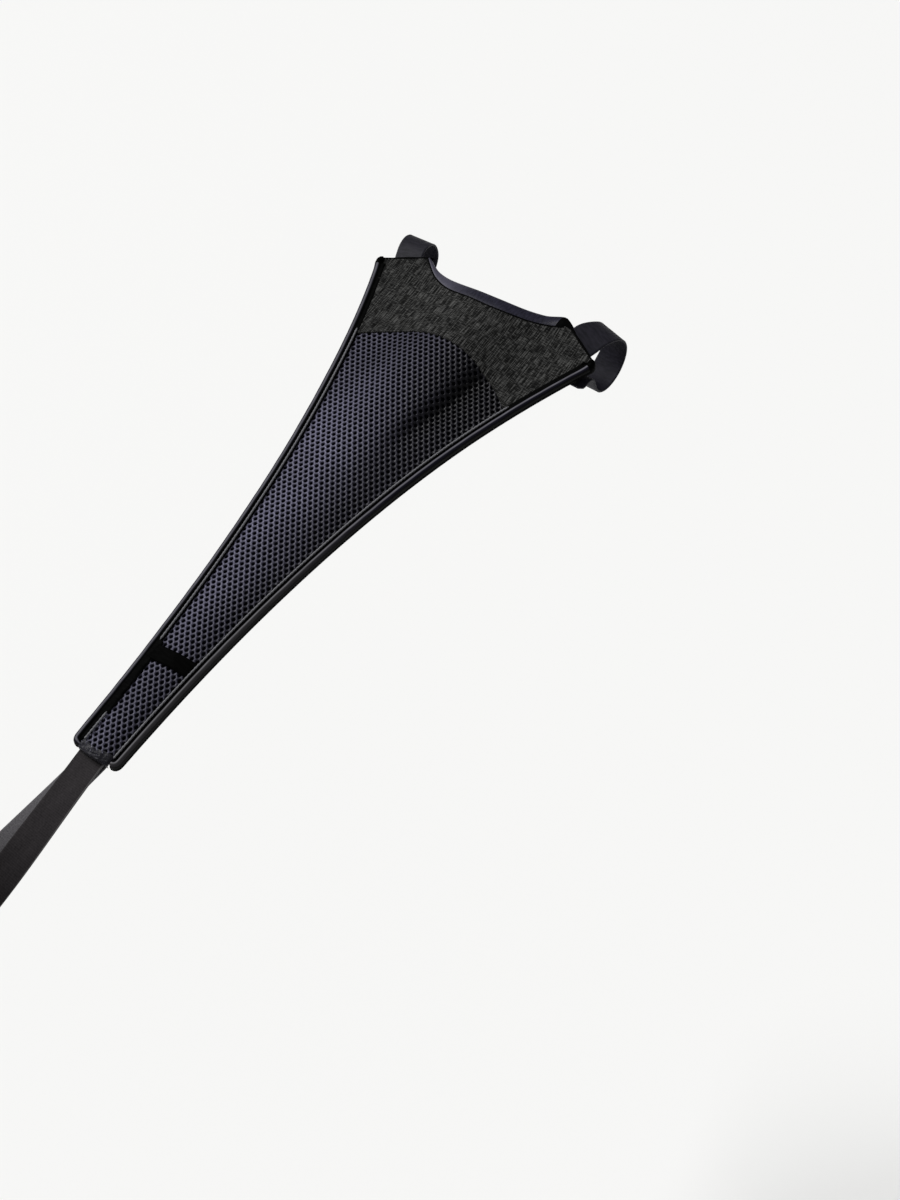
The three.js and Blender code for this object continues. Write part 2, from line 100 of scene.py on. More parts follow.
# One fold runs down the mesh on the right, between the distances where it opens and closes
CREASE_START = 58
CREASE_END = 150
CREASE_OPENS = (55, 67)
CREASE_CLOSES = (93, 150)
CREASE_TOP_X = 30
CREASE_END_X = 17
CREASE_DEPTH = 4.0
CREASE_STEEP_WIDTH = 5
CREASE_GENTLE_WIDTH = 9
# Distances from the side over which the fold and the drape grow to their full size
CREASE_ROOM = (6, 14)
DRAPE_ROOM = (5, 16)


def smoothstep(value, start, end):
    t = min(1, max(0, (value - start) / (end - start)))
    return t * t * (3 - 2 * t)


def between(value, opens, closes):
    """A value from 0 to 1 that grows over one span and dies away over another."""
    return smoothstep(value, *opens) * (1 - smoothstep(value, *closes))


def mix(a, b, t):
    return a + (b - a) * t


def level(x, s):
    """Height of the lining's underside over the bar's axis."""
    rise = BAR_RISE * max(0, 1 - s / BAR_RISE_LENGTH) ** 2
    fall = TAIL_FALL * (s / TAIL.y) ** 2
    along = math.exp(-(((s - RIDGE_DISTANCE) / RIDGE_LENGTH) ** 2))
    spread = mix(RIDGE_SPREAD, RIDGE_TAIL_SPREAD, smoothstep(s, RIDGE_DISTANCE, TAIL.y))
    across = math.exp(-(abs((x - RIDGE_OFFSET) / spread) ** RIDGE_POWER))
    return PANEL_LEVEL + rise - fall + (RIDGE_HEIGHT * along + RIDGE_TAIL_HEIGHT) * across


SLOPE_TURN = Matrix.Rotation(math.radians(SLOPE_DEG), 3, "X")


def place(local):
    """From the guard's own millimetres to the frame's metres."""
    return SLOPE_TURN @ local * MM


def off_side(x, s, room):
    """Share of a movement that the sewn side leaves free."""
    return smoothstep(half_width(s) - abs(x), *room)


def crease(x, s):
    """Rise, below zero, of the fold that runs down the mesh from the seam, steep on its left side."""
    down = between(s, CREASE_OPENS, CREASE_CLOSES)
    across = x - mix(CREASE_TOP_X, CREASE_END_X, smoothstep(s, CREASE_START, CREASE_END))
    width = CREASE_STEEP_WIDTH if across < 0 else CREASE_GENTLE_WIDTH
    depth = CREASE_DEPTH * down * math.exp(-((across / width) ** 2))
    return -off_side(x, s, CREASE_ROOM) * depth


def on_guard(x, s, lift):
    """A point of the cloth at a lift over the lining's underside."""
    pull = 1 - smoothstep(s, PULL_START, PULL_END)
    moved_x = x + PULL_SIDEWAYS * pull
    moved_s = s - PULL_SKEW * x * pull
    return place(Vector((moved_x, -moved_s, level(x, s) + lift + crease(x, s))))


# Outline


def bezier(points, t):
    points = list(points)
    while len(points) > 1:
        points = [a.lerp(b, t) for a, b in zip(points, points[1:])]
    return points[0]


def curve_points(control, count):
    return [bezier(control, k / count) for k in range(count + 1)]


def corner_points(corner, before, after, radius, count):
    start = corner + (before - corner).normalized() * radius
    end = corner + (after - corner).normalized() * radius
    return curve_points([start, corner, end], count)


STRAP_EDGE = SHOULDER + (HORN - SHOULDER).normalized() * BINDING_START
SIDE_CURVE = [
    SHOULDER + (SIDE_PULL - SHOULDER).normalized() * SHOULDER_RADIUS,
    SIDE_PULL,
    TAIL - Vector((0, TAIL_RADIUS)),
]


def run_lengths(points):
    """Length along a row of points, up to each of them."""
    runs = [0.0]
    for a, b in zip(points, points[1:]):
        runs.append(runs[-1] + math.dist(a, b))
    return runs


def even_points(points, spacing):
    """Points the same distance apart along a row of points."""
    runs = run_lengths(points)
    count = max(2, round(runs[-1] / spacing))
    result = []
    k = 0
    for step in range(count + 1):
        run = runs[-1] * step / count
        while k < len(points) - 2 and runs[k + 1] < run:
            k += 1
        gap = max(1e-9, runs[k + 1] - runs[k])
        result.append(points[k].lerp(points[k + 1], (run - runs[k]) / gap))
    return result


def side_points(spacing):
    points = [STRAP_EDGE]
    points += corner_points(SHOULDER, STRAP_EDGE, SIDE_PULL, SHOULDER_RADIUS, 12)
    points += curve_points(SIDE_CURVE, 240)[1:]
    points += curve_points([SIDE_CURVE[2], TAIL, TAIL - Vector((TAIL_RADIUS, 0))], 12)[1:]
    return even_points(points, spacing)


SIDE_TABLE = curve_points(SIDE_CURVE, 400)


def half_width(s):
    """Half width of the guard in plan, from the side's curve."""
    first, second = SIDE_TABLE[:2]
    if s <= first.y:
        return first.x + (second.x - first.x) / (second.y - first.y) * (s - first.y)
    for a, b in zip(SIDE_TABLE, SIDE_TABLE[1:]):
        if b.y >= s:
            return mix(a.x, b.x, (s - a.y) / (b.y - a.y))
    return TAIL.x


def side_distance(x):
    """Distance down the guard at which it is a given half width."""
    for a, b in zip(SIDE_TABLE, SIDE_TABLE[1:]):
        if b.x <= x:
            return mix(a.y, b.y, (a.x - x) / max(1e-6, a.x - b.x))
    return TAIL.y


def seam_distance(x):
    return SEAM_DISTANCE + SEAM_RADIUS - math.sqrt(max(0, SEAM_RADIUS**2 - x**2))


def inward_at(points, k):
    ahead = points[min(k + 1, len(points) - 1)]
    behind = points[max(k - 1, 0)]
    run = (ahead - behind).normalized()
    return Vector((-run.y, run.x))


def horn_distance(x):
    """Front edge of the cloth outside the neckline."""
    return HORN.y + (abs(x) - HORN.x) * (SHOULDER.y - HORN.y) / (SHOULDER.x - HORN.x)


# Neckline: the edge of the yoke, and the outer edge of the soft binding that drops away in front of it
YOKE_EDGE = [(-53, 3.2), (-41, 12.2), (-26, 17.5), (-9, 18.8), (9, 18.2), (29, 13.6), (51, 4.6)]
NECK_OUTER = [
    (-53, 1.2), (-41, 7.2), (-21, 10.2), (-1, 10.2), (19, 8), (36, 3), (47, -2.4), (52, -1), (59, 3.4),
]
NECK_START = -53
NECK_END = 59
NECK_BLACK_START = 45
YOKE_FRONT_LEAST = 3


def through(points, x):
    """Smooth curve through a few points, as distance down the guard over x."""
    points = [Vector(p) for p in points]
    last = len(points) - 2
    k = 0
    while k < last and points[k + 1].x < x:
        k += 1
    a, b = points[k], points[k + 1]
    before = points[max(k - 1, 0)]
    after = points[min(k + 2, len(points) - 1)]
    t = min(1, max(0, (x - a.x) / (b.x - a.x)))
    start = (b.y - before.y) / (b.x - before.x) * (b.x - a.x)
    end = (after.y - a.y) / (after.x - a.x) * (b.x - a.x)
    square, cube = t * t, t * t * t
    fixed = (2 * cube - 3 * square + 1) * a.y + (3 * square - 2 * cube) * b.y
    return fixed + (cube - 2 * square + t) * start + (cube - square) * end


def yoke_front(x):
    if YOKE_EDGE[0][0] < x < YOKE_EDGE[-1][0]:
        return through(YOKE_EDGE, x)
    return max(horn_distance(x), YOKE_FRONT_LEAST)


# Pieces


def grid_faces(rows, columns, wrap=False):
    faces = []
    for r in range(rows - 1):
        here, ahead = r * columns, (r + 1) * columns
        for c in range(columns if wrap else columns - 1):
            d = (c + 1) % columns
            faces.append((here + c, here + d, ahead + d, ahead + c))
    return faces


def shifted(faces, base):
    return [tuple(base + v for v in face) for face in faces]


def new_object(name, data):
    thing = bpy.data.objects.new(name, data)
    bpy.context.scene.collection.objects.link(thing)
    return thing


def add_piece(name, points, faces, flat, material, nodes=(), light=()):
    """A shown piece, with each point's place on the flat cloth, in millimetres, and its share of painted
    light.
    """
    mesh = bpy.data.meshes.new(name)
    mesh.from_pydata([tuple(p) for p in points], [], faces)
    layer = mesh.uv_layers.new(name="flat")
    for loop in mesh.loops:
        across, along = flat[loop.vertex_index]
        layer.data[loop.index].uv = (across * MM, along * MM)
    # The share of painted light goes to the material as the attribute light
    if light:
        mesh.attributes.new("light", "FLOAT", "POINT").data.foreach_set("value", light)
    mesh.polygons.foreach_set("use_smooth", [True] * len(mesh.polygons))
    mesh.materials.append(material)
    piece = new_object(name, mesh)
    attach(piece, "root")
    if nodes:
        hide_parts(*nodes)
    return piece


def second_material(piece, material, is_second):
    """A second material on the faces for whose number is_second holds."""
    piece.data.materials.append(material)
    for k, face in enumerate(piece.data.polygons):
        face.material_index = int(is_second(k))


def thicken(piece, thickness):
    solid = piece.modifiers.new("thickness", "SOLIDIFY")
    solid.thickness = thickness * MM
    solid.offset = -1
    return piece


def lay_rows(name, rows, material, nodes=(), light=None, caps=False, turned=False):
    """A piece laid on the guard; rows hold points as x, s, lift and place on the flat cloth."""
    points = [on_guard(x, s, lift) for row in rows for x, s, lift, _ in row]
    flat = [spot for row in rows for *_, spot in row]
    columns = len(rows[0])
    faces = grid_faces(len(rows), columns)
    if caps:
        faces.append(tuple(range(columns)))
        faces.append(tuple(reversed(range(len(points) - columns, len(points)))))
    if turned:
        faces = [tuple(reversed(face)) for face in faces]
    lights = [light] * len(points) if light else ()
    return add_piece(name, points, faces, flat, material, nodes, lights)


def make_grid(name, rows, columns, spot, material, nodes=(), light=None):
    """A piece laid as an even grid.

    spot gives x, s, lift and place across the flat cloth, at shares of the way across and down.
    """
    grid = []
    for r in range(rows + 1):
        spots = [spot(c / columns, r / rows) for c in range(columns + 1)]
        grid.append([(x, s, lift, (across, s)) for x, s, lift, across in spots])
    return lay_rows(name, grid, material, nodes, light)


# Materials


# A wave texture of this scale repeats once a unit
WAVE_SCALE = 0.314


class Cloth:
    """A procedural cloth; its texture lies on the flat cloth, in millimetres."""

    def __init__(self, name, roughness, specular=0.1, sheen=0.0):
        self.material = bpy.data.materials.new(name)
        self.material.use_nodes = True
        self.tree = self.material.node_tree
        self.shader = self.tree.nodes["Principled BSDF"]
        values = {"Roughness": roughness, "Sheen Weight": sheen, "Specular IOR Level": specular}
        self.feed(self.shader, values)
        self.place = self.new("TexCoord", {}).outputs["UV"]

    def feed(self, node, inputs):
        """Inputs of a node, each a value or another node's output."""
        for name, value in inputs.items():
            if isinstance(value, bpy.types.NodeSocket):
                self.tree.links.new(value, node.inputs[name])
            else:
                node.inputs[name].default_value = value

    def new(self, kind, inputs, **settings):
        node = self.tree.nodes.new("ShaderNode" + kind)
        for name, value in settings.items():
            setattr(node, name, value)
        self.feed(node, inputs)
        return node

    def scaled(self, width, length, turn=0.0):
        place = self.place
        if turn:
            turned = {"Rotation": (0, 0, math.radians(turn)), "Vector": place}
            place = self.new("Mapping", turned).outputs["Vector"]
        scale = (1 / (width * MM), 1 / (length * MM), 1)
        return self.new("Mapping", {"Scale": scale, "Vector": place}).outputs["Vector"]

    def noise(self, width, length, detail=2.0, roughness=0.5, turn=0.0):
        vector = self.scaled(width, length, turn)
        inputs = {"Scale": 1, "Detail": detail, "Roughness": roughness, "Vector": vector}
        return self.new("TexNoise", inputs).outputs["Fac"]

    def bands(self, pitch, along=False, turn=0.0):
        inputs = {"Scale": WAVE_SCALE, "Vector": self.scaled(pitch, pitch, turn)}
        return self.new("TexWave", inputs, bands_direction="Y" if along else "X").outputs["Fac"]

    def maths(self, operation, first, second):
        return self.new("Math", {0: first, 1: second}, operation=operation).outputs[0]

    def product(self, first, *others):
        for other in others:
            first = self.maths("MULTIPLY", first, other)
        return first

    def weighted(self, *parts):
        """Sum of outputs, each times its weight."""
        shares = [self.maths("MULTIPLY", output, weight) for output, weight in parts]
        total = shares[0]
        for share in shares[1:]:
            total = self.maths("ADD", total, share)
        return total

    def ramp(self, factor, stops):
        node = self.new("ValToRGB", {"Fac": factor})
        elements = node.color_ramp.elements
        while len(elements) < len(stops):
            elements.new(0.5)
        for element, (position, colour) in zip(elements, stops):
            element.position = position
            element.color = (*colour, 1)
        return node.outputs["Color"]

    def blend(self, mode, factor, first, second):
        inputs = {"Factor": factor, "A": first, "B": second}
        return self.new("Mix", inputs, data_type="RGBA", blend_type=mode).outputs["Result"]

    def colour(self, output):
        self.feed(self.shader, {"Base Color": output})

    def shaded(self, base, factor, stops):
        """Base colour darkened by the grey that the factor gives."""
        self.colour(self.blend("MULTIPLY", 1, base, self.ramp(factor, stops)))

    def finished(self, height, depth):
        """The material, with the bumps of its texture."""
        node = self.new("Bump", {"Strength": 1, "Distance": depth * MM, "Height": height})
        self.feed(self.shader, {"Normal": node.outputs["Normal"]})
        return self.material

    def flat_place(self, axis):
        return self.new("SeparateXYZ", {"Vector": self.place}).outputs[axis]

    def fade(self, axis, span, values):
        """A value that changes smoothly over a span of the flat cloth, in millimetres."""
        inputs = {"Value": self.flat_place(axis), "From Min": span[0] * MM, "From Max": span[1] * MM}
        inputs |= {"To Min": values[0], "To Max": values[1]}
        return self.new("MapRange", inputs, interpolation_type="SMOOTHSTEP").outputs["Result"]


def grey(value, blue=1.0):
    return (value, value, value * blue)


BLACK_TO_WHITE = [(0, grey(0)), (1, grey(1))]
PATCHY = [(0.3, grey(0.7)), (0.7, grey(1))]


def heather_cloth():
    """Charcoal heather: long slubs down the cloth crossed by finer threads."""
    cloth = Cloth("yoke_heather", 0.85, 0.08)
    slubs = cloth.noise(0.5, 8, 0, turn=2)
    cross = cloth.noise(3.5, 0.5, 0)
    fibres = cloth.noise(0.35, 2, 1)
    threads = cloth.weighted((slubs, 0.52), (cross, 0.38), (fibres, 0.1))
    stops = [(0.38, grey(0.0015, 0.97)), (0.5, grey(0.0115, 0.97)), (0.63, grey(0.07, 0.97))]
    cloth.colour(cloth.ramp(threads, stops))
    return cloth.finished(threads, 0.35)


def strand_cloth(name, dark, light, specular):
    """Shiny strands with painted shade: darker to the right, towards the seam and towards the tail, where
    they lie deeper and along the fold; with random patches of tone.
    """
    cloth = Cloth(name, 0.38, specular, 0.03)
    threads = cloth.noise(0.5, 1.2, 2, turn=30)
    patches = cloth.noise(18, 40, 2)
    base = cloth.ramp(threads, [(0.3, dark), (0.7, light)])
    # Painted shade below the seam, towards the tail and on the right flank
    seam_painted_shade = cloth.fade("Y", (62, 160), (0.42, 1))
    tail_painted_shade = cloth.fade("Y", (200, 290), (1, 0.8))
    right = cloth.fade("X", (-16, 26), (1, 0.17))
    uneven = cloth.maths("ADD", patches, 0.5)
    # Each point's share of painted light: painted shade on the deeper strands and along the fold
    painted_light_here = cloth.new("Attribute", {}, attribute_name="light").outputs["Fac"]
    painted_shade_and_patches = cloth.product(seam_painted_shade, tail_painted_shade, right, uneven, painted_light_here)
    cloth.shaded(base, painted_shade_and_patches, BLACK_TO_WHITE)
    return cloth.finished(threads, 0.12)


def lining_cloth():
    """Plain knit: columns of small loops."""
    cloth = Cloth("lining_knit", 0.9, 0.08)
    columns = cloth.bands(1.1)
    courses = cloth.bands(0.8, along=True)
    patches = cloth.noise(20, 20, 2)
    loops = cloth.maths("MULTIPLY", columns, courses)
    base = cloth.ramp(loops, [(0.0, (0.003, 0.003, 0.005)), (1.0, (0.02, 0.02, 0.026))])
    cloth.shaded(base, patches, PATCHY)
    return cloth.finished(loops, 0.25)


def binding_cloth(name, stops, tail_painted_sheen_stops, width):
    """Satin tape; stops give its colours round the section, with a painted highlight along the bead, at the
    shoulder and at the tail.
    """
    cloth = Cloth(name, 0.45, 0.05)
    twill = cloth.bands(0.45, turn=35)
    streaks = cloth.noise(1.2, 9, 2)
    across = cloth.maths("DIVIDE", cloth.flat_place("X"), width * MM)
    front = cloth.ramp(across, stops)
    tail = cloth.ramp(across, tail_painted_sheen_stops)
    # Painted sheen: down the guard the bead takes the tail's paler colours
    base = cloth.blend("MIX", cloth.fade("Y", (140, 260), (0, 1)), front, tail)
    cloth.shaded(base, streaks, PATCHY)
    return cloth.finished(cloth.weighted((twill, 0.3), (streaks, 1)), 0.05)


def fibre_cloth(cloth, fibres, dark, light, depth, light_at=0.7):
    """Cloth of one kind of fibres, with its two colours and the depth of its bumps."""
    cloth.colour(cloth.ramp(fibres, [(0.3, dark), (light_at, light)]))
    return cloth.finished(fibres, depth)


def ground_cloth():
    cloth = Cloth("mesh_ground", 0.95, 0.02)
    shades = ((0.0005, 0.0005, 0.001), (0.003, 0.003, 0.006))
    return fibre_cloth(cloth, cloth.noise(0.5, 0.5, 1), *shades, 0.2, light_at=0.75)


def thread_cloth(name, dark, light):
    cloth = Cloth(name, 0.6, 0.2)
    return fibre_cloth(cloth, cloth.noise(0.3, 0.8, 2, turn=40), dark, light, 0.05)


def nap_cloth(name, dark, light, size, depth):
    cloth = Cloth(name, 0.95, 0.05, 0.1)
    return fibre_cloth(cloth, cloth.noise(size, size, 3, 0.7), dark, light, depth)


def satin_cloth(name, dark, light, roughness, specular, painted_sheen_end=(0, 0, 0)):
    """Satin; the colour added towards the left end of the neckline is a painted sheen, where the binding
    faces the light.
    """
    cloth = Cloth(name, roughness, specular)
    weave = cloth.bands(0.5, along=True)
    streaks = cloth.noise(5, 1.4, 2)
    base = cloth.ramp(streaks, [(0.3, dark), (0.7, light)])
    if any(painted_sheen_end):
        painted_sheen = cloth.ramp(cloth.fade("Y", (-38, -8), (1, 0)), [(0, grey(0)), (1, painted_sheen_end)])
        base = cloth.blend("ADD", 1, base, painted_sheen)
    cloth.colour(base)
    return cloth.finished(cloth.weighted((weave, 0.4), (streaks, 1)), 0.1)


def webbing_cloth(name, dark, light, pale_edge):
    """Smooth webbing with faint ribs, a matt nap and a pale line along one edge."""
    cloth = Cloth(name, 0.8, 0.08, 0.03)
    ribs = cloth.bands(1.3, along=True)
    nap = cloth.noise(1.1, 1.6, 3, 0.6)
    patches = cloth.noise(9, 30, 2)
    height = cloth.weighted((ribs, 0.1), (nap, 0.5), (patches, 0.4))
    base = cloth.ramp(height, [(0.3, dark), (0.75, light)])
    edge = cloth.ramp(cloth.fade("X", (8.1, 8.7), (0, 1)), [(0, grey(0)), (1, pale_edge)])
    cloth.colour(cloth.blend("ADD", 1, base, edge))
    return cloth.finished(height, 0.2)


# Yoke

YOKE_LIFT = 3.75
YOKE_COLUMNS = 168
YOKE_ROWS = 56
YOKE_BLACK_ROWS = 5
YOKE_DRAPE = 0.4
# Turned edge at front and seam: distance in from the edge, and rise
YOKE_ROLL = [(1.4, 0), (0.9, 0.12), (0.45, 0.08), (0.12, -0.25), (0, -0.75), (0.15, -1.5)]
YOKE_ROLL_ROOM = 1.8
CLOTH_INSET = 1.5
DRAPE_RISE = 0.25
# Lengths across and down of two crossing waves
DRAPE_WAVES = ((9, 23), (-40, 31))
LINING_WAVES = ((5, 7), (-9, 17))
LINING_RIPPLE = 0.12


def crossing(x, s, waves):
    result = 1
    for across, down in waves:
        result *= math.sin(x / across + s / down)
    return result


def drape(x, s):
    """Small unevenness of the upper cloth, which dies away at the bindings."""
    return off_side(x, s, DRAPE_ROOM) * DRAPE_RISE * crossing(x, s, DRAPE_WAVES)


def make_yoke(material, black):
    lines = []
    reach = SHOULDER.x - CLOTH_INSET - 1
    for c in range(YOKE_COLUMNS + 1):
        x = mix(-reach, reach, c / YOKE_COLUMNS)
        front = yoke_front(x)
        seam = seam_distance(x)
        side = side_distance(abs(x) + CLOTH_INSET)
        back = max(front + 0.5, min(seam, side))
        turned = 1 if seam < side else 0
        inner_front, inner_back = front + YOKE_ROLL_ROOM, back - YOKE_ROLL_ROOM
        line = [(front + d, rise) for d, rise in reversed(YOKE_ROLL)]
        line += [(mix(inner_front, inner_back, r / (YOKE_ROWS - 1)), 0) for r in range(YOKE_ROWS)]
        line += [(back - d, rise * turned) for d, rise in YOKE_ROLL]
        line = [(min(max(s, front), back), rise) for s, rise in line]
        lines.append([(x, s, YOKE_LIFT + rise + YOKE_DRAPE * drape(x, s), (x, s)) for s, rise in line])
    piece = lay_rows("yoke_cloth", lines, material, ["yoke_panel"])
    second_material(piece, black, lambda k: k % (len(lines[0]) - 1) < YOKE_BLACK_ROWS)
    return piece


# Spacer mesh: six-sided cells round rounded holes

MESH_PITCH = 3.9
MESH_ROW = 2.95
MESH_TURN = math.radians(-3.5)
MESH_LIFT = 3.05
MESH_EDGE = 3.0
MESH_END = 385
HOLE_HALF_WIDTH = 1.07
HOLE_HALF_LENGTH = 1.3
HOLE_POWER = 1.5
# Holes grow longer towards the tail, on the right
HOLE_STRETCH = 0.22
HOLE_STRETCH_DOWN = (150, 350)
HOLE_STRETCH_ACROSS = (-8, 8)
# Rises of a cell's three kinds of strand; the low ones lie deeper still on the right
STRAND_RISES = (0.12, -0.5, 0.3)
LOW_STRANDS_ACROSS = (-12, 14)
LOW_STRANDS_DEEPER = (0.6, 1.8)
# Rings of a cell's wall: share of the way from its rim to its hole, and drop
MESH_RINGS = [(0.5, -0.12), (0.85, -0.4), (1.0, -0.8), (1.04, -1.4)]
RISE_REACH = 1.15
# Painted light at no rise, and its gain with rise and with drop, which paints shade on deeper strands and
# down the holes; then the painted shade along the fold
STRAND_PAINTED_LIGHT = (0.8, 0.6, 0.45)
FOLD_PAINTED_SHADE = 0.75
MESH_PIVOT = 200
MESH_ROWS = 140
MESH_COLUMNS = 34
MESH_UNDER_YOKE = 3
SHARED_STEPS = 40
GROUND_LIFT = 1.5
LINING_LIFT = 0.6
LINING_THICKNESS = 0.6
SHEET_END_GAP = 0.3
SHEET_ROW_POWER = 1.3
NECK_HALF_WIDTH = 50


def cell_rim():
    """Twelve points round a cell, on its corners and the middles of its sides, with each one's rise."""
    upright = (MESH_ROW**2 - (MESH_PITCH / 2) ** 2) / (2 * MESH_ROW)
    half = MESH_PITCH / 2
    tip = MESH_ROW - upright
    right_side = [(half, -upright), (half, upright), (0, tip)]
    corners = right_side + [(-x, -y) for x, y in right_side]
    rim = []
    for k, corner in enumerate(corners):
        following = corners[(k + 1) % 6]
        middle = ((corner[0] + following[0]) / 2, (corner[1] + following[1]) / 2)
        rim.append((*corner, 0.0))
        rim.append((*middle, STRAND_RISES[k % 3]))
    return rim


def in_mesh(x, s):
    inside = abs(x) < half_width(s) - MESH_EDGE
    return inside and seam_distance(x) - MESH_UNDER_YOKE < s < MESH_END - MESH_ROW / 2


def hole_reach(x, s, angle):
    """Distance from a cell's centre to the edge of its hole."""
    stretch = 1 + HOLE_STRETCH * smoothstep(s, *HOLE_STRETCH_DOWN) * smoothstep(x, *HOLE_STRETCH_ACROSS)
    wide = abs(math.cos(angle) / HOLE_HALF_WIDTH) ** HOLE_POWER
    long = abs(math.sin(angle) / (HOLE_HALF_LENGTH * stretch)) ** HOLE_POWER
    return (wide + long) ** (-1 / HOLE_POWER)


def make_mesh(material):
    cos, sin = math.cos(MESH_TURN), math.sin(MESH_TURN)
    rim = cell_rim()
    base_light, rise_light, drop_light = STRAND_PAINTED_LIGHT
    points = []
    flat = []
    faces = []
    light = []
    shared = {}

    def turned(across, along):
        return across * cos - along * sin, MESH_PIVOT + along * cos + across * sin

    def add(across, along, rise, drop=0.0):
        x, s = turned(across, along)
        if rise < 0:
            rise *= mix(*LOW_STRANDS_DEEPER, smoothstep(x, *LOW_STRANDS_ACROSS))
        points.append(on_guard(x, s, MESH_LIFT + rise + drop + drape(x, s)))
        flat.append((x, s))
        # Painted light: darker on deeper strands, down the holes and along the fold
        painted_lit = min(1, max(0, base_light + rise_light * rise + drop_light * drop))
        light.append(painted_lit * (1 + FOLD_PAINTED_SHADE * crease(x, s) / CREASE_DEPTH))
        return len(points) - 1

    for row in range(-MESH_ROWS // 2, MESH_ROWS // 2):
        for column in range(-MESH_COLUMNS, MESH_COLUMNS + 1):
            across = MESH_PITCH * (column + 0.5 * (row % 2))
            along = MESH_ROW * row
            x, s = turned(across, along)
            if not in_mesh(x, s):
                continue
            previous = []
            for u, v, rise in rim:
                key = (round(SHARED_STEPS * (across + u)), round(SHARED_STEPS * (along + v)))
                if key not in shared:
                    shared[key] = add(across + u, along + v, rise)
                previous.append(shared[key])
            for share, drop in MESH_RINGS:
                ring = []
                for u, v, rise in rim:
                    angle = math.atan2(v, u)
                    reach = hole_reach(x, s, angle)
                    radius = mix(math.hypot(u, v), reach, share) if share < 1 else reach / share
                    spot = (across + radius * math.cos(angle), along + radius * math.sin(angle))
                    ring.append(add(*spot, rise * max(0, RISE_REACH - share), drop))
                for k in range(len(rim)):
                    following = (k + 1) % len(rim)
                    faces.append((previous[k], previous[following], ring[following], ring[k]))
                previous = ring
    return add_piece("mesh_cloth", points, faces, flat, material, ["mesh_panel"], light)


def make_sheet(name, lift, inset, material, nodes=(), start=0.0, ripple=0.0):
    """A whole cloth layer inside the outline; start moves its front edge down the guard."""
    widest = SHOULDER.x - inset

    def spot(u, v):
        share = 2 * u - 1
        front_x = share * widest
        in_neck = abs(front_x) < NECK_HALF_WIDTH
        front = through(NECK_OUTER, front_x) if in_neck else horn_distance(front_x)
        s = mix(front + inset + start, TAIL.y - inset - SHEET_END_GAP, v**SHEET_ROW_POWER)
        width = half_width(s) - inset
        x = share * (width if s > SHOULDER.y + 4 else min(width, widest))
        return x, s, lift + ripple * crossing(x, s, LINING_WAVES), x

    return make_grid(name, 190, 60, spot, material, nodes)


# Bindings


EDGE_SECTION = [
    (3.6, -0.35), (3.6, -1.05), (2.6, -1.2), (1.4, -1.2), (0.55, -0.95), (0.1, -0.3), (0, 0.8), (0, 2.2),
    (0.15, 3.4), (0.6, 4.4), (1.2, 5.0), (1.9, 5.25), (2.6, 5.1), (3.1, 4.65), (3.45, 4.1), (3.9, 3.85),
    (4.6, 3.85), (5.4, 3.95), (6.2, 3.95), (6.6, 3.75), (6.65, 3.2),
]
SECTION_RUNS = run_lengths(EDGE_SECTION)
SECTION_CENTRE = Vector((2.2, 2.0))
BINDING_SPACING = 1.6
BEAD_COLUMNS = (7, 14)
SHOULDER_BLACK = 9
SHOULDER_SWELL = 0.28
SHOULDER_SWELL_RUN = (3, 14)
END_LENGTH = 2.4
# Where the section's bead begins in lift, and ends in distance from the edge
BEAD_LIFT = (2.5, 4.5)
BEAD_INSET = (2.8, 3.6)
SIDE_RUN_SHIFT = 40


def gathers(run):
    """Slight unevenness of a sewn bead along its length."""
    return 0.10 * math.sin(run / 3.1) * math.sin(run / 7.7) + 0.08 * math.sin(run / 13.0 + 1)


def make_edge_binding(name, side, material, black, node):
    path = side_points(BINDING_SPACING)
    runs = run_lengths(path)
    rows = []
    for k, (point, run) in enumerate(zip(path, runs)):
        inward = inward_at(path, k)
        near_end = min(run, runs[-1] - run)
        row = []
        size = math.sqrt(max(0.02, 1 - (1 - min(1, near_end / END_LENGTH)) ** 2))
        size *= 1 + SHOULDER_SWELL * (1 - smoothstep(run, *SHOULDER_SWELL_RUN))
        for (d, lift), around in zip(EDGE_SECTION, SECTION_RUNS):
            at = SECTION_CENTRE + (Vector((d, lift)) - SECTION_CENTRE) * size
            on_bead = smoothstep(at.y, *BEAD_LIFT) * (1 - smoothstep(at.x, *BEAD_INSET))
            puff = gathers(run + SIDE_RUN_SHIFT * side) * on_bead
            spot = point + inward * at.x
            row.append((side * spot.x, spot.y, at.y + puff, (around, run)))
        rows.append(row)
    piece = lay_rows(name, rows, material, [node], caps=True)

    def is_black(k):
        row, column = divmod(k, len(EDGE_SECTION) - 1)
        in_bead = BEAD_COLUMNS[0] <= column < BEAD_COLUMNS[1] and row < len(path) - 1
        return not in_bead or runs[row] < SHOULDER_BLACK

    second_material(piece, black, is_black)
    return piece


WIDE_LEG_START = 306
WIDE_LEG_END = 363
WIDE_LEG_REACH = 8.6
WIDE_LEG_INSET = 3.6
WIDE_LEG_LIFT = 4.15
WIDE_LEG_COLUMNS = 8


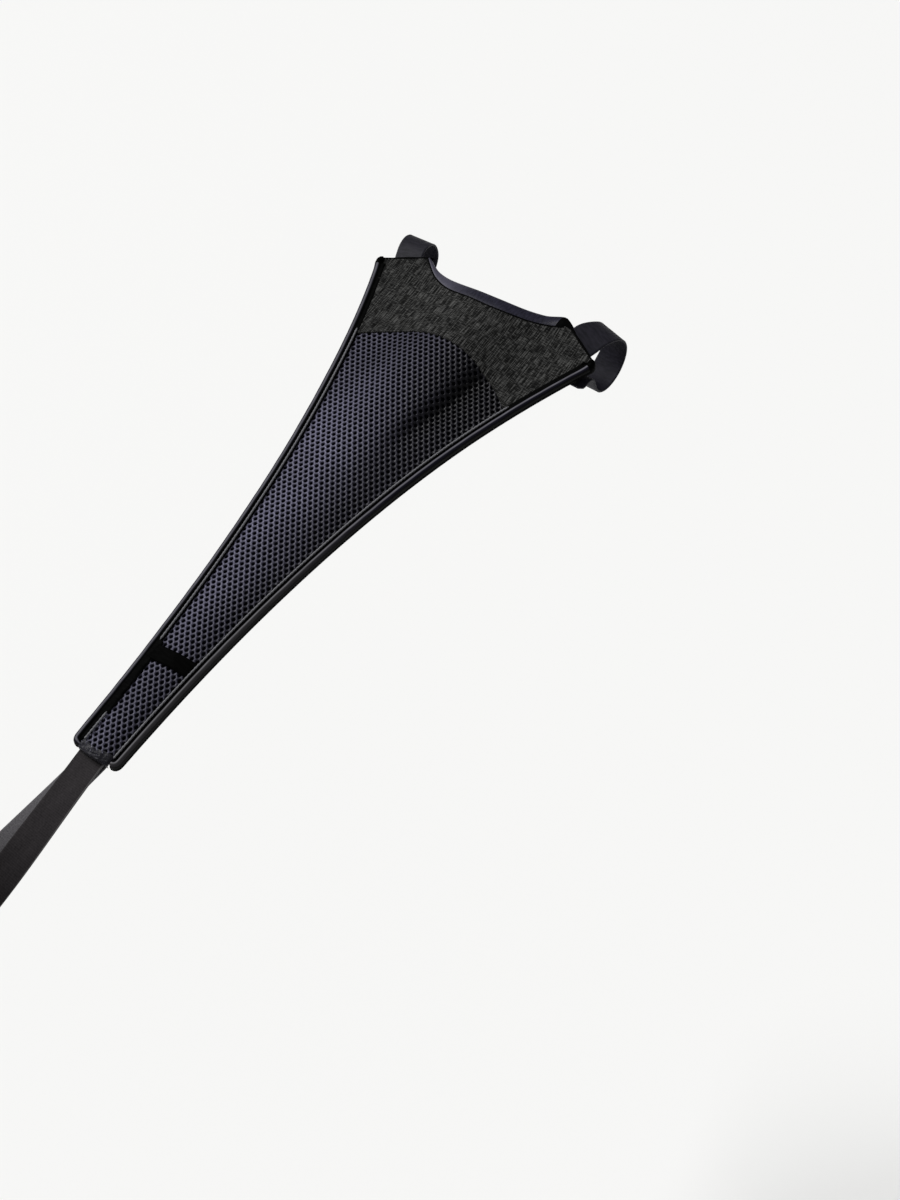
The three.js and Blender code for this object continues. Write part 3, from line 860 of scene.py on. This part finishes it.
def make_wide_leg(material):
    """Below the label the left tape reaches further over the mesh, then steps back."""

    def spot(u, v):
        s = mix(WIDE_LEG_START, WIDE_LEG_END, v)
        reach = WIDE_LEG_REACH * smoothstep(s, WIDE_LEG_START, WIDE_LEG_START + 4)
        reach *= 1 - 0.25 * smoothstep(s, WIDE_LEG_END - 3, WIDE_LEG_END)
        d = mix(WIDE_LEG_INSET, max(reach, WIDE_LEG_INSET + 0.4), u)
        wave = 0.1 * math.sin(s / 3 + WIDE_LEG_COLUMNS * u)
        return d - half_width(s), s, WIDE_LEG_LIFT - 0.7 * smoothstep(u, 0.8, 1) + wave, d

    return make_grid("wide_leg", 40, WIDE_LEG_COLUMNS, spot, material)


def tube(centres, radius_at, sides, across_of):
    """Rings of points round a row of centres; across_of gives two directions for each."""
    points = []
    for k, centre in enumerate(centres):
        right, up = across_of(k)
        for j in range(sides):
            angle = 2 * math.pi * j / sides
            reach = radius_at(k, angle)
            points.append(centre + (right * math.cos(angle) + up * math.sin(angle)) * reach * MM)
    return points


CORD_INSET = 5.35
CORD_LIFT = 4.35
CORD_RADIUS = 0.72
CORD_TWIST = 2.6
CORD_SIDES = 8
CORD_SPACING = 0.65
CORD_CORE = 0.62


def make_cord(name, side, material, parts):
    """Twisted cord that lies in the fold between the bead and the cloth."""
    path = side_points(CORD_SPACING)
    points = []
    flat = []
    faces = []
    for start, end, inset in parts:
        rings = []
        for k, point in enumerate(path):
            if not start <= point.y <= end:
                continue
            spot = point + inward_at(path, k) * inset
            rings.append(on_guard(side * spot.x, spot.y, CORD_LIFT))

        def directions(k):
            ahead = rings[min(k + 1, len(rings) - 1)] - rings[max(k - 1, 0)]
            up = SLOPE_TURN @ Vector((0, 0, 1))
            right = ahead.cross(up).normalized()
            return right, right.cross(ahead).normalized()

        def reach(k, angle):
            end_share = min(1, min(k, len(rings) - 1 - k) / 2)
            lobes = abs(math.cos(angle - math.pi * k * CORD_SPACING / CORD_TWIST))
            return CORD_RADIUS * mix(CORD_CORE, 1, lobes) * max(0.15, end_share)

        base = len(points)
        points += tube(rings, reach, CORD_SIDES, directions)
        flat += [(j * 0.5, k * CORD_SPACING) for k in range(len(rings)) for j in range(CORD_SIDES)]
        faces += shifted(grid_faces(len(rings), CORD_SIDES, wrap=True), base)
    add_piece(name, points, faces, flat, material)


# Share of the way from the yoke's edge to the outer edge, with the lift there
NECK_SECTION = [
    (-0.55, 3.1), (-0.3, 3.5), (0.0, 3.7), (0.2, 3.6), (0.45, 3.2), (0.7, 2.5), (0.88, 1.7), (0.98, 0.8),
    (1.0, -0.1), (0.95, -0.8), (0.8, -1.15), (0.45, -1.2), (0.4, -0.5),
]
NECK_COLUMNS = 120
NECK_LEAST_WIDTH = 0.4
NECK_WAVE = 0.25
# The binding stands up a little where it turns the right corner
NECK_PEAK = 0.7
NECK_PEAK_OPENS = (42, 49)
NECK_PEAK_CLOSES = (50, 59)


def make_neck_binding(material, black):
    rows = []
    for c in range(NECK_COLUMNS + 1):
        x = mix(NECK_START, NECK_END, c / NECK_COLUMNS)
        inner = yoke_front(x)
        outer = min(through(NECK_OUTER, x), inner - NECK_LEAST_WIDTH)
        wave = NECK_WAVE * math.sin(x / 4.1) * math.sin(x / 11)
        peak = NECK_PEAK * between(x, NECK_PEAK_OPENS, NECK_PEAK_CLOSES)
        row = []
        for t, lift in NECK_SECTION:
            rise = (wave + peak) * max(0, 1 - abs(t - 0.4) * 1.6)
            row.append((x, mix(inner, outer, t), lift + rise, (t * 10, x)))
        rows.append(row)
    piece = lay_rows("neck_binding", rows, material, ["neckline_binding"], turned=True)
    first_black = NECK_COLUMNS * (NECK_BLACK_START - NECK_START) / (NECK_END - NECK_START)
    second_material(piece, black, lambda k: k // (len(NECK_SECTION) - 1) > first_black)
    return piece


HORN_FOLD_SECTION = [
    (0.6, -1.1), (-0.5, -0.6), (-0.8, 0.6), (-0.75, 2.2), (-0.35, 3.5), (0.3, 4.1), (1.0, 4.15), (1.5, 3.6),
]
HORN_FOLD_CENTRE = 1.5
HORN_FOLD_STEPS = 36


def make_horn_fold(name, side, start, end, material):
    """Edge turned over along the front, from the neckline to the shoulder."""
    rows = []
    for k in range(HORN_FOLD_STEPS + 1):
        t = k / HORN_FOLD_STEPS
        x = side * mix(start, end, t)
        s = horn_distance(x)
        size = math.sqrt(math.sin(math.pi * mix(0.04, 0.96, t)))
        section = [(d, mix(HORN_FOLD_CENTRE, lift, size)) for d, lift in HORN_FOLD_SECTION]
        rows.append([(x, s + d * size, lift, (d, x)) for d, lift in section])
    lay_rows(name, rows, material)


# Label across the mesh

LABEL_LIFT = 4.0
LABEL_TILT = -0.07
LABEL_INSET = 5.6
LABEL_THICKNESS = 0.35
LABEL_ROWS = 14


def make_label(material):
    def spot(u, v):
        share = 2 * u - 1
        along = LABEL_DISTANCE + LABEL_LENGTH * v
        x = share * (half_width(along) - LABEL_INSET)
        lift = LABEL_LIFT - 0.5 * (1 - smoothstep(min(v, 1 - v), 0, 0.1)) + 0.12 * math.sin(x / 2.3 + 1)
        return x, along + LABEL_TILT * x, lift - 0.4 * smoothstep(abs(share), 0.85, 1), x

    piece = make_grid("label_ribbon", LABEL_ROWS, 36, spot, material, ["label_tab"])
    return thicken(piece, LABEL_THICKNESS)


# Hem of the mesh between the two ends of the edge binding

HEM_START = 380.5
HEM_HALF_WIDTH = 11.2
HEM_LIFT = 3.0
# Share of painted light on the hem: painted shade on the folded mesh
HEM_PAINTED_LIGHT = 0.8
# Share of its length at which the hem turns down, and how far it drops
HEM_TURN = 0.88
HEM_DROP = 3.6


def make_hem(material):
    random.seed(7)
    phases = [random.uniform(0, 6.28) for _ in range(6)]

    def spot(u, t):
        share = 2 * u - 1
        x = share * HEM_HALF_WIDTH
        end = TAIL.y + 0.6 - 0.8 * share * share
        along = min(1, t * 1.12)
        s = mix(HEM_START + math.sin(3 * share + phases[0]), end, along)
        lift = HEM_LIFT + 0.35 * math.sin(along * math.pi)
        crumple = math.sin(5.1 * share + 3.7 * t + phases[1]) * math.sin(9.3 * share - 6.1 * t + phases[2])
        fine = math.sin(17 * share + 11 * t + phases[3]) * math.sin(13 * t - 8 * share + phases[4])
        lift += (0.32 * crumple + 0.16 * fine) * math.sin(math.pi * min(1, t * 1.05))
        if t > HEM_TURN:
            lift -= HEM_DROP * ((t - HEM_TURN) / (1 - HEM_TURN)) ** 1.5
        return x, s, lift, x

    return make_grid("mesh_hem", 26, 60, spot, material, light=HEM_PAINTED_LIGHT)


# Straps

BAR_STRAP_WIDTH = 18.5
TAIL_STRAP_WIDTH = 18
STRAP_THICKNESS = 1.4
STRAP_LINE_RADIUS = 16.9
POST_LINE_RADIUS = 16.8
POST_DISTANCE = 600
POST_LOOP_LEVEL = -6
BAR_STRAP_ROOT = 29
BAR_STRAP_BREAK = 14
BAR_STRAP_RETURN = 19
BAR_STRAP_END = 31
BAR_STRAP_BEND = 6
ROOT_DEPTH = 1.0
BAR_ROOT_DEPTH = 1.25
RETURN_DEPTH = 5.1
# Where each bar strap's patches and tacks are: side, root's distance in from the shoulder, and shift
STRAPS = {"right": (1, 20, 11), "left": (-1, 18.6, 6.5)}
# For each shown loop: how far its inner edge stands off the bar and widens, its root's distance and its shift
STRAP_LEANS = {"right": (3.8, 2.6, 20.1, 11.0), "left": (1.1, -0.3, 21.1, 9.7)}
# Runs along the loop over which the inner edge stands off and widens, and comes back
LEAN_OPENS = (14, 21)
LEAN_CLOSES = (56, 74)
SPREAD_OPENS = (4, 22)
SPREAD_CLOSES = (26, 40)
TAIL_STRAP_ROOT = 362
TAIL_STRAP_OFFSET = -2
TAIL_TWIST_START = 394
TAIL_TWIST_LENGTH = 180


def level_over(x, s, width):
    return min(level(x - width / 2, s), level(x, s), level(x + width / 2, s))


def bar_strap_line(centre):
    """Side view of a bar strap's middle line, as s + n j."""
    root = complex(BAR_STRAP_ROOT, level_over(centre, BAR_STRAP_ROOT, BAR_STRAP_WIDTH) - BAR_ROOT_DEPTH)
    leave = complex(BAR_STRAP_BREAK, level_over(centre, BAR_STRAP_BREAK, BAR_STRAP_WIDTH) - BAR_ROOT_DEPTH)
    back = level_over(centre, BAR_STRAP_END, BAR_STRAP_WIDTH) - RETURN_DEPTH
    turn = complex(BAR_STRAP_RETURN, back)
    end = complex(BAR_STRAP_END, back)
    upper = cmath.phase(leave) + math.acos(STRAP_LINE_RADIUS / abs(leave))
    lower = cmath.phase(turn) - math.acos(STRAP_LINE_RADIUS / abs(turn)) + 2 * math.pi
    steps = 64
    arc = [cmath.rect(STRAP_LINE_RADIUS, mix(upper, lower, k / steps)) for k in range(steps + 1)]
    before = turn + (arc[-1] - turn) / abs(arc[-1] - turn) * BAR_STRAP_BEND
    after = turn + (end - turn) / abs(end - turn) * BAR_STRAP_BEND
    bend = [mix(mix(before, turn, t), mix(turn, after, t), t) for t in (k / 10 for k in range(11))]
    line = [mix(root, leave, k / 8) for k in range(9)]
    line += [mix(leave, arc[0], k / 4) for k in range(1, 4)]
    return line + arc + bend + [mix(after, end, k / 4) for k in range(1, 5)]


def bar_strap_stations(side, lean, spread, inset, shift):
    """Centre, directions across and through, run, and side with the inner edge's lean and spread."""
    root = SHOULDER.x - inset
    line = bar_strap_line(side * root)
    front_length = BAR_STRAP_ROOT + STRAP_LINE_RADIUS * math.pi / 2
    centres = []
    runs = []
    run = 0.0
    for k, at in enumerate(line):
        if k:
            run += abs(at - line[k - 1])
        t = min(1, max(0, (run - BAR_STRAP_BREAK) / (front_length - BAR_STRAP_BREAK)))
        centres.append(Vector((side * (root + shift * (1 - (1 - t) ** 2)), -at.real, at.imag)))
        runs.append(run)
    stations = []
    for k, centre in enumerate(centres):
        tangent = (centres[min(k + 1, len(centres) - 1)] - centres[max(k - 1, 0)]).normalized()
        flat = Vector((0, tangent.y, tangent.z)).normalized()
        face = Vector((0, -flat.z, flat.y))
        across = -face.cross(tangent).normalized()
        stand_off = lean * between(runs[k], LEAN_OPENS, LEAN_CLOSES)
        wide = spread * between(runs[k], SPREAD_OPENS, SPREAD_CLOSES)
        through_it = across.cross(tangent).normalized()
        stations.append((centre, across, through_it, runs[k], (side, stand_off, wide)))
    return stations


RIBBON_HALF = [(1, 0.0), (0.985, 0.7), (0.95, 1.0), (0.86, 0.92), (0.5, 0.96)]
RIBBON_ROUND = [(-w, t) for w, t in RIBBON_HALF] + [(0, 1.0)] + RIBBON_HALF[::-1]
# Share of its width that a rounded end keeps
ROUNDED_LEAST = 0.65


def ribbon_section(width, thickness):
    """Flat band with rounded selvedges: points across and through it."""
    top = [(w * width / 2, t * thickness / 2) for w, t in RIBBON_ROUND]
    under = [(w, -t) for w, t in reversed(top[1:-1])]
    return top + under


def make_ribbon(name, stations, width, material, nodes, rounded_end=0.0, inner_side=None):
    section = ribbon_section(width, STRAP_THICKNESS)
    points = []
    flat = []
    total = stations[-1][3]
    for centre, across, face, run, edge in stations:
        narrow = 1.0
        if rounded_end and total - run < rounded_end:
            round_share = math.sqrt(max(0, 1 - (1 - (total - run) / rounded_end) ** 2))
            narrow = mix(ROUNDED_LEAST, 1, round_share)
        side, lift, wide = edge
        for w, t in section:
            inner = 0.5 - side * w / width
            spot = w * narrow - side * wide * inner
            points.append(place(centre + across * spot + face * (t + lift * inner)))
            flat.append((w, run))
    columns = len(section)
    faces = grid_faces(len(stations), columns, wrap=True)
    last = (len(stations) - 1) * columns
    faces.append(tuple(reversed(range(columns))))
    faces.append(tuple(last + k for k in range(columns)))
    piece = add_piece(name, points, faces, flat, material, nodes)
    if inner_side:
        second_material(piece, inner_side, lambda k: k % columns >= len(RIBBON_ROUND) - 1)
    return piece


def tail_run(sign, depth):
    stations = []
    steps = 110
    for k in range(steps):
        s = mix(TAIL_STRAP_ROOT, POST_DISTANCE, k / steps)
        angle = smoothstep(s, TAIL_TWIST_START, TAIL_TWIST_START + TAIL_TWIST_LENGTH) * math.pi / 2
        spread = max(0, (s - TAIL.y) / (POST_DISTANCE - TAIL.y))
        under = level_over(TAIL_STRAP_OFFSET, min(s, TAIL.y), TAIL_STRAP_WIDTH) - depth
        height = mix(under, POST_LOOP_LEVEL, spread)
        sideways = mix(TAIL_STRAP_OFFSET, sign * POST_LINE_RADIUS, spread)
        across = Vector((math.cos(angle), 0, -math.sin(angle)))
        face = Vector((math.sin(angle), 0, math.cos(angle)))
        stations.append((Vector((sideways, -s, height)), across, face))
    return stations


def tail_strap_stations():
    out = tail_run(1, ROOT_DEPTH)
    home = [(centre, across, -face) for centre, across, face in reversed(tail_run(-1, RETURN_DEPTH))]
    turn = []
    steps = 40
    for k in range(steps + 1):
        angle = math.pi * k / steps
        radial = Vector((math.cos(angle), -math.sin(angle), 0))
        centre = radial * POST_LINE_RADIUS + Vector((0, -POST_DISTANCE, POST_LOOP_LEVEL))
        turn.append((centre, Vector((0, 0, -1)), radial))
    run = 0.0
    stations = []
    for k, (centre, across, face) in enumerate(out + turn + home):
        if k:
            run += (centre - stations[-1][0]).length
        stations.append((centre, across, face, run, (0, 0, 0)))
    return stations


PATCH_STEPS = 20
PATCH_THICKNESS = 0.9
PATCH_SOFTNESS = 0.28
# Depth of each tape under the lining's underside
PATCH_DEPTHS = {"loop": 2.0, "hook": 3.2}
# Start, length and width
BAR_PATCH = (19, 11, 16.5)
TAIL_PATCH = (363, 21, 16)


def make_patch(kind, name, x, start, length, width, material, node):
    """Fastening tape under the guard, with its edges rounded off."""
    n = PATCH_STEPS + 1
    points = []
    flat = []
    for face in (0, 1):
        for r in range(n):
            for c in range(n):
                across = width * (c / PATCH_STEPS - 0.5)
                s = start + length * r / PATCH_STEPS
                on_edge = r in (0, PATCH_STEPS) or c in (0, PATCH_STEPS)
                soft = PATCH_SOFTNESS * PATCH_THICKNESS if on_edge else 0
                top = level_over(x, s, width) - PATCH_DEPTHS[kind]
                height = top - PATCH_THICKNESS + soft if face else top - soft
                points.append(place(Vector((x + across, -s, height))))
                flat.append((across, s))
    top_faces = grid_faces(n, n)
    faces = [tuple(reversed(face)) for face in top_faces] + shifted(top_faces, n * n)
    rim = list(range(n)) + [r * n + n - 1 for r in range(1, n)]
    rim += [n * n - 2 - c for c in range(n - 1)] + [r * n for r in reversed(range(1, n - 1))]
    for a, b in zip(rim, rim[1:] + rim[:1]):
        faces.append((a, b, n * n + b, n * n + a))
    add_piece(f"{kind}_tape_{name}", points, faces, flat, material, [node])


# Stitches

STITCH_STEPS = 4
STITCH_SIDES = 5


def stitch(points, faces, flat, start, end, up, radius=0.22, rise=0.28):
    """One bowed thread between two points."""
    run = end - start
    across = run.cross(up).normalized()
    bows = [math.sin(math.pi * k / STITCH_STEPS) for k in range(STITCH_STEPS + 1)]
    centres = [start + run * k / STITCH_STEPS + up * (rise * bow - 0.1) * MM for k, bow in enumerate(bows)]
    faces += shifted(grid_faces(len(centres), STITCH_SIDES, wrap=True), len(points))
    points += tube(centres, lambda k, _: radius * mix(0.45, 1, bows[k]), STITCH_SIDES, lambda _: (across, up))
    flat += [(j * 0.2, k / STITCH_STEPS) for k in range(len(centres)) for j in range(STITCH_SIDES)]


STITCH_LENGTH = 2.3
STITCH_PITCH = 3.0
STITCH_INSET = 2.9
STITCH_LIFT = -1.25
# Tacks over each bar strap's root: rows down the guard, count and width of a row, and lift
TACK_ROWS = (19.5, 30.5)
TACK_COUNT = 6
TACK_ROW_WIDTH = 15.2
TACK_LIFT = 4.0


def make_stitches(material):
    points = []
    flat = []
    faces = []
    up = SLOPE_TURN @ Vector((0, 0, 1))
    path = side_points(STITCH_PITCH)
    for side in (-1, 1):
        for k in range(1, len(path) - 1):
            inward = inward_at(path, k)
            run = (path[k + 1] - path[k]) * (STITCH_LENGTH / STITCH_PITCH)
            a = path[k] + inward * STITCH_INSET
            b = a + run
            start = on_guard(side * a.x, a.y, STITCH_LIFT)
            end = on_guard(side * b.x, b.y, STITCH_LIFT)
            stitch(points, faces, flat, start, end, -up)
    for side, inset, _ in STRAPS.values():
        centre = side * (SHOULDER.x - inset)
        for row in TACK_ROWS:
            for k in range(TACK_COUNT):
                x = centre + TACK_ROW_WIDTH * (k / TACK_COUNT - 0.5)
                a = on_guard(x + 0.2, row, TACK_LIFT)
                b = on_guard(x + 2.2, row, TACK_LIFT)
                stitch(points, faces, flat, a, b, up, 0.14, 0.1)
    add_piece("stitches", points, faces, flat, material)


# Camera, floor and lights


def make_camera():
    yaw = math.radians(CAMERA_YAW)
    pitch = math.radians(CAMERA_PITCH)
    forward = Vector((-math.sin(yaw) * math.cos(pitch), math.cos(yaw) * math.cos(pitch), math.sin(pitch)))
    roll = Matrix.Rotation(math.radians(-CAMERA_ROLL), 3, forward)
    right = roll @ Vector((math.cos(yaw), math.sin(yaw), 0))
    up = right.cross(forward)
    turn = Matrix((right, up, -forward)).transposed().to_4x4()
    data = bpy.data.cameras.new("camera")
    data.sensor_width = SENSOR_MM
    data.lens = SENSOR_MM * FOCAL_LENGTH_PX / FRAME_HEIGHT
    data.shift_x = (FRAME_WIDTH / 2 - OPTICAL_CENTRE_PX[0]) / FRAME_HEIGHT
    data.shift_y = (OPTICAL_CENTRE_PX[1] - FRAME_HEIGHT / 2) / FRAME_HEIGHT
    data.clip_start = CLIP_START
    data.clip_end = CLIP_END
    camera = new_object("camera", data)
    camera.matrix_world = Matrix.Translation(Vector(CAMERA_PLACE) * MM) @ turn
    bpy.context.scene.camera = camera


def make_floor():
    size = FLOOR_HALF_SIZE * MM
    mesh = bpy.data.meshes.new("floor")
    corners = [(-size, -size, 0), (size, -size, 0), (size, size, 0), (-size, size, 0)]
    mesh.from_pydata(corners, [], [(0, 1, 2, 3)])
    floor = new_object("floor", mesh)
    floor.location.z = -FLOOR_DEPTH * MM
    material = bpy.data.materials.new("floor")
    material.use_nodes = True
    shader = material.node_tree.nodes["Principled BSDF"]
    shader.inputs["Base Color"].default_value = (0.9, 0.9, 0.89, 1)
    shader.inputs["Roughness"].default_value = 0.9
    mesh.materials.append(material)


def make_lights():
    world = bpy.data.worlds.new("world")
    world.use_nodes = True
    background = world.node_tree.nodes["Background"]
    background.inputs["Color"].default_value = (1, 1, 1, 1)
    background.inputs["Strength"].default_value = WORLD_LIGHT
    bpy.context.scene.world = world
    data = bpy.data.lights.new("key", "SUN")
    data.angle = math.radians(KEY_ANGLE)
    data.energy = KEY_LIGHT
    light = new_object("key", data)
    light.rotation_mode = "QUATERNION"
    light.rotation_quaternion = Vector(KEY_FROM).to_track_quat("Z", "Y")


make_camera()
make_floor()
make_lights()
bpy.context.scene.view_settings.view_transform = "Standard"

TAPE_BLACK = grey(0.002)
# Colours round the edge tape's section: black, with a painted highlight in a narrow line along the bead; on
# the right the bead turns paler towards the tail, a painted sheen
PAINTED_HIGHLIGHT_STOPS = [
    (0.0, TAPE_BLACK), (0.54, TAPE_BLACK), (0.58, (0.010, 0.009, 0.018)), (0.625, (0.014, 0.013, 0.022)),
    (0.645, (0.12, 0.117, 0.135)), (0.69, (0.12, 0.117, 0.135)), (0.72, (0.008, 0.008, 0.015)),
    (0.75, TAPE_BLACK),
]
TAIL_PAINTED_SHEEN_STOPS = [
    (0.0, TAPE_BLACK), (0.5, TAPE_BLACK), (0.55, (0.036, 0.034, 0.037)), (0.64, (0.045, 0.043, 0.046)),
    (0.66, (0.13, 0.127, 0.135)), (0.7, (0.12, 0.117, 0.125)), (0.72, (0.008, 0.008, 0.012)),
    (0.75, TAPE_BLACK),
]
bead_left = binding_cloth("binding_left", PAINTED_HIGHLIGHT_STOPS, PAINTED_HIGHLIGHT_STOPS, SECTION_RUNS[-1])
bead_right = binding_cloth("binding_right", PAINTED_HIGHLIGHT_STOPS, TAIL_PAINTED_SHEEN_STOPS, SECTION_RUNS[-1])
neck_shades = ((0.004, 0.004, 0.010), (0.018, 0.017, 0.032))
# The last colour is the painted sheen at the neckline's left end
neck_satin = satin_cloth("neck_satin", *neck_shades, 0.4, 0.15, (0.045, 0.043, 0.055))
black_tape = satin_cloth("black_tape", grey(0.0005), grey(0.0025), 0.6, 0.01)
cord_thread = thread_cloth("cord_thread", grey(0.07), grey(0.2, 1.1))
seam_thread = thread_cloth("seam_thread", grey(0.015), grey(0.05))
strap_elastic = satin_cloth("strap_elastic", (0.007, 0.007, 0.0105), (0.016, 0.015, 0.022), 0.5, 0.1)
webbing_shades = ((0.011, 0.0098, 0.0105), (0.038, 0.034, 0.036), (0.09, 0.088, 0.088))
webbing = webbing_cloth("tail_webbing", *webbing_shades)
fleece = nap_cloth("strap_fleece", (0.062, 0.059, 0.064), (0.15, 0.145, 0.153), 0.8, 0.2)
tapes = {
    "loop": nap_cloth("loop_tape", grey(0.004), grey(0.025), 0.9, 0.3),
    "hook": nap_cloth("hook_tape", grey(0.003), grey(0.02), 0.45, 0.35),
}
label_satin = satin_cloth("label_satin", grey(0.0005), grey(0.0015), 0.6, 0.008)
strands = strand_cloth("mesh_strands", (0.036, 0.035, 0.06), (0.2, 0.194, 0.285), 0.13)
# A darker copy of the mesh strands: painted shade on the folded hem
hem_painted_shade_strands = strand_cloth("hem_painted_shade_strands", (0.006, 0.006, 0.009), (0.045, 0.044, 0.058), 0.08)

yoke_cloth = make_yoke(heather_cloth(), black_tape)
mesh_cloth = make_mesh(strands)
mesh_ground = make_sheet("mesh_ground", GROUND_LIFT, 2.2, ground_cloth(), start=8)
knit = lining_cloth()
lining = make_sheet("lining_cloth", LINING_LIFT, 1.6, knit, ["back_lining"], ripple=LINING_RIPPLE)
thicken(lining, LINING_THICKNESS)
tape_right = make_edge_binding("edge_tape_right", 1, bead_right, black_tape, "edge_binding_right")
tape_left = make_edge_binding("edge_tape_left", -1, bead_left, black_tape, "edge_binding_left")
wide_leg = make_wide_leg(black_tape)
make_cord("edge_cord_right", 1, cord_thread, [(72, 382, CORD_INSET)])
make_cord("edge_cord_left", -1, cord_thread, [(72, 310, CORD_INSET), (361, 384, CORD_INSET + 2)])
neck_tape = make_neck_binding(neck_satin, black_tape)
make_horn_fold("horn_fold_right", 1, 52, 79, black_tape)
make_horn_fold("horn_fold_left", -1, 51, 79, black_tape)
label = make_label(label_satin)
hem = make_hem(hem_painted_shade_strands)
for name, (side, inset, shift) in STRAPS.items():
    loop = bar_strap_stations(side, *STRAP_LEANS[name])
    strap_nodes = [f"bar_strap_{name}"]
    make_ribbon(f"bar_loop_{name}", loop, BAR_STRAP_WIDTH, strap_elastic, strap_nodes, 3)
    centre = side * (SHOULDER.x - inset + shift / 2)
    for kind, tape in tapes.items():
        make_patch(kind, name, centre, *BAR_PATCH, tape, f"bar_{kind}_patch_{name}")
tail = tail_strap_stations()
make_ribbon("tail_webbing", tail, TAIL_STRAP_WIDTH, webbing, ["tail_strap"], inner_side=fleece)
for kind, tape in tapes.items():
    make_patch(kind, "tail", TAIL_STRAP_OFFSET, *TAIL_PATCH, tape, f"tail_{kind}_patch")
make_stitches(seam_thread)
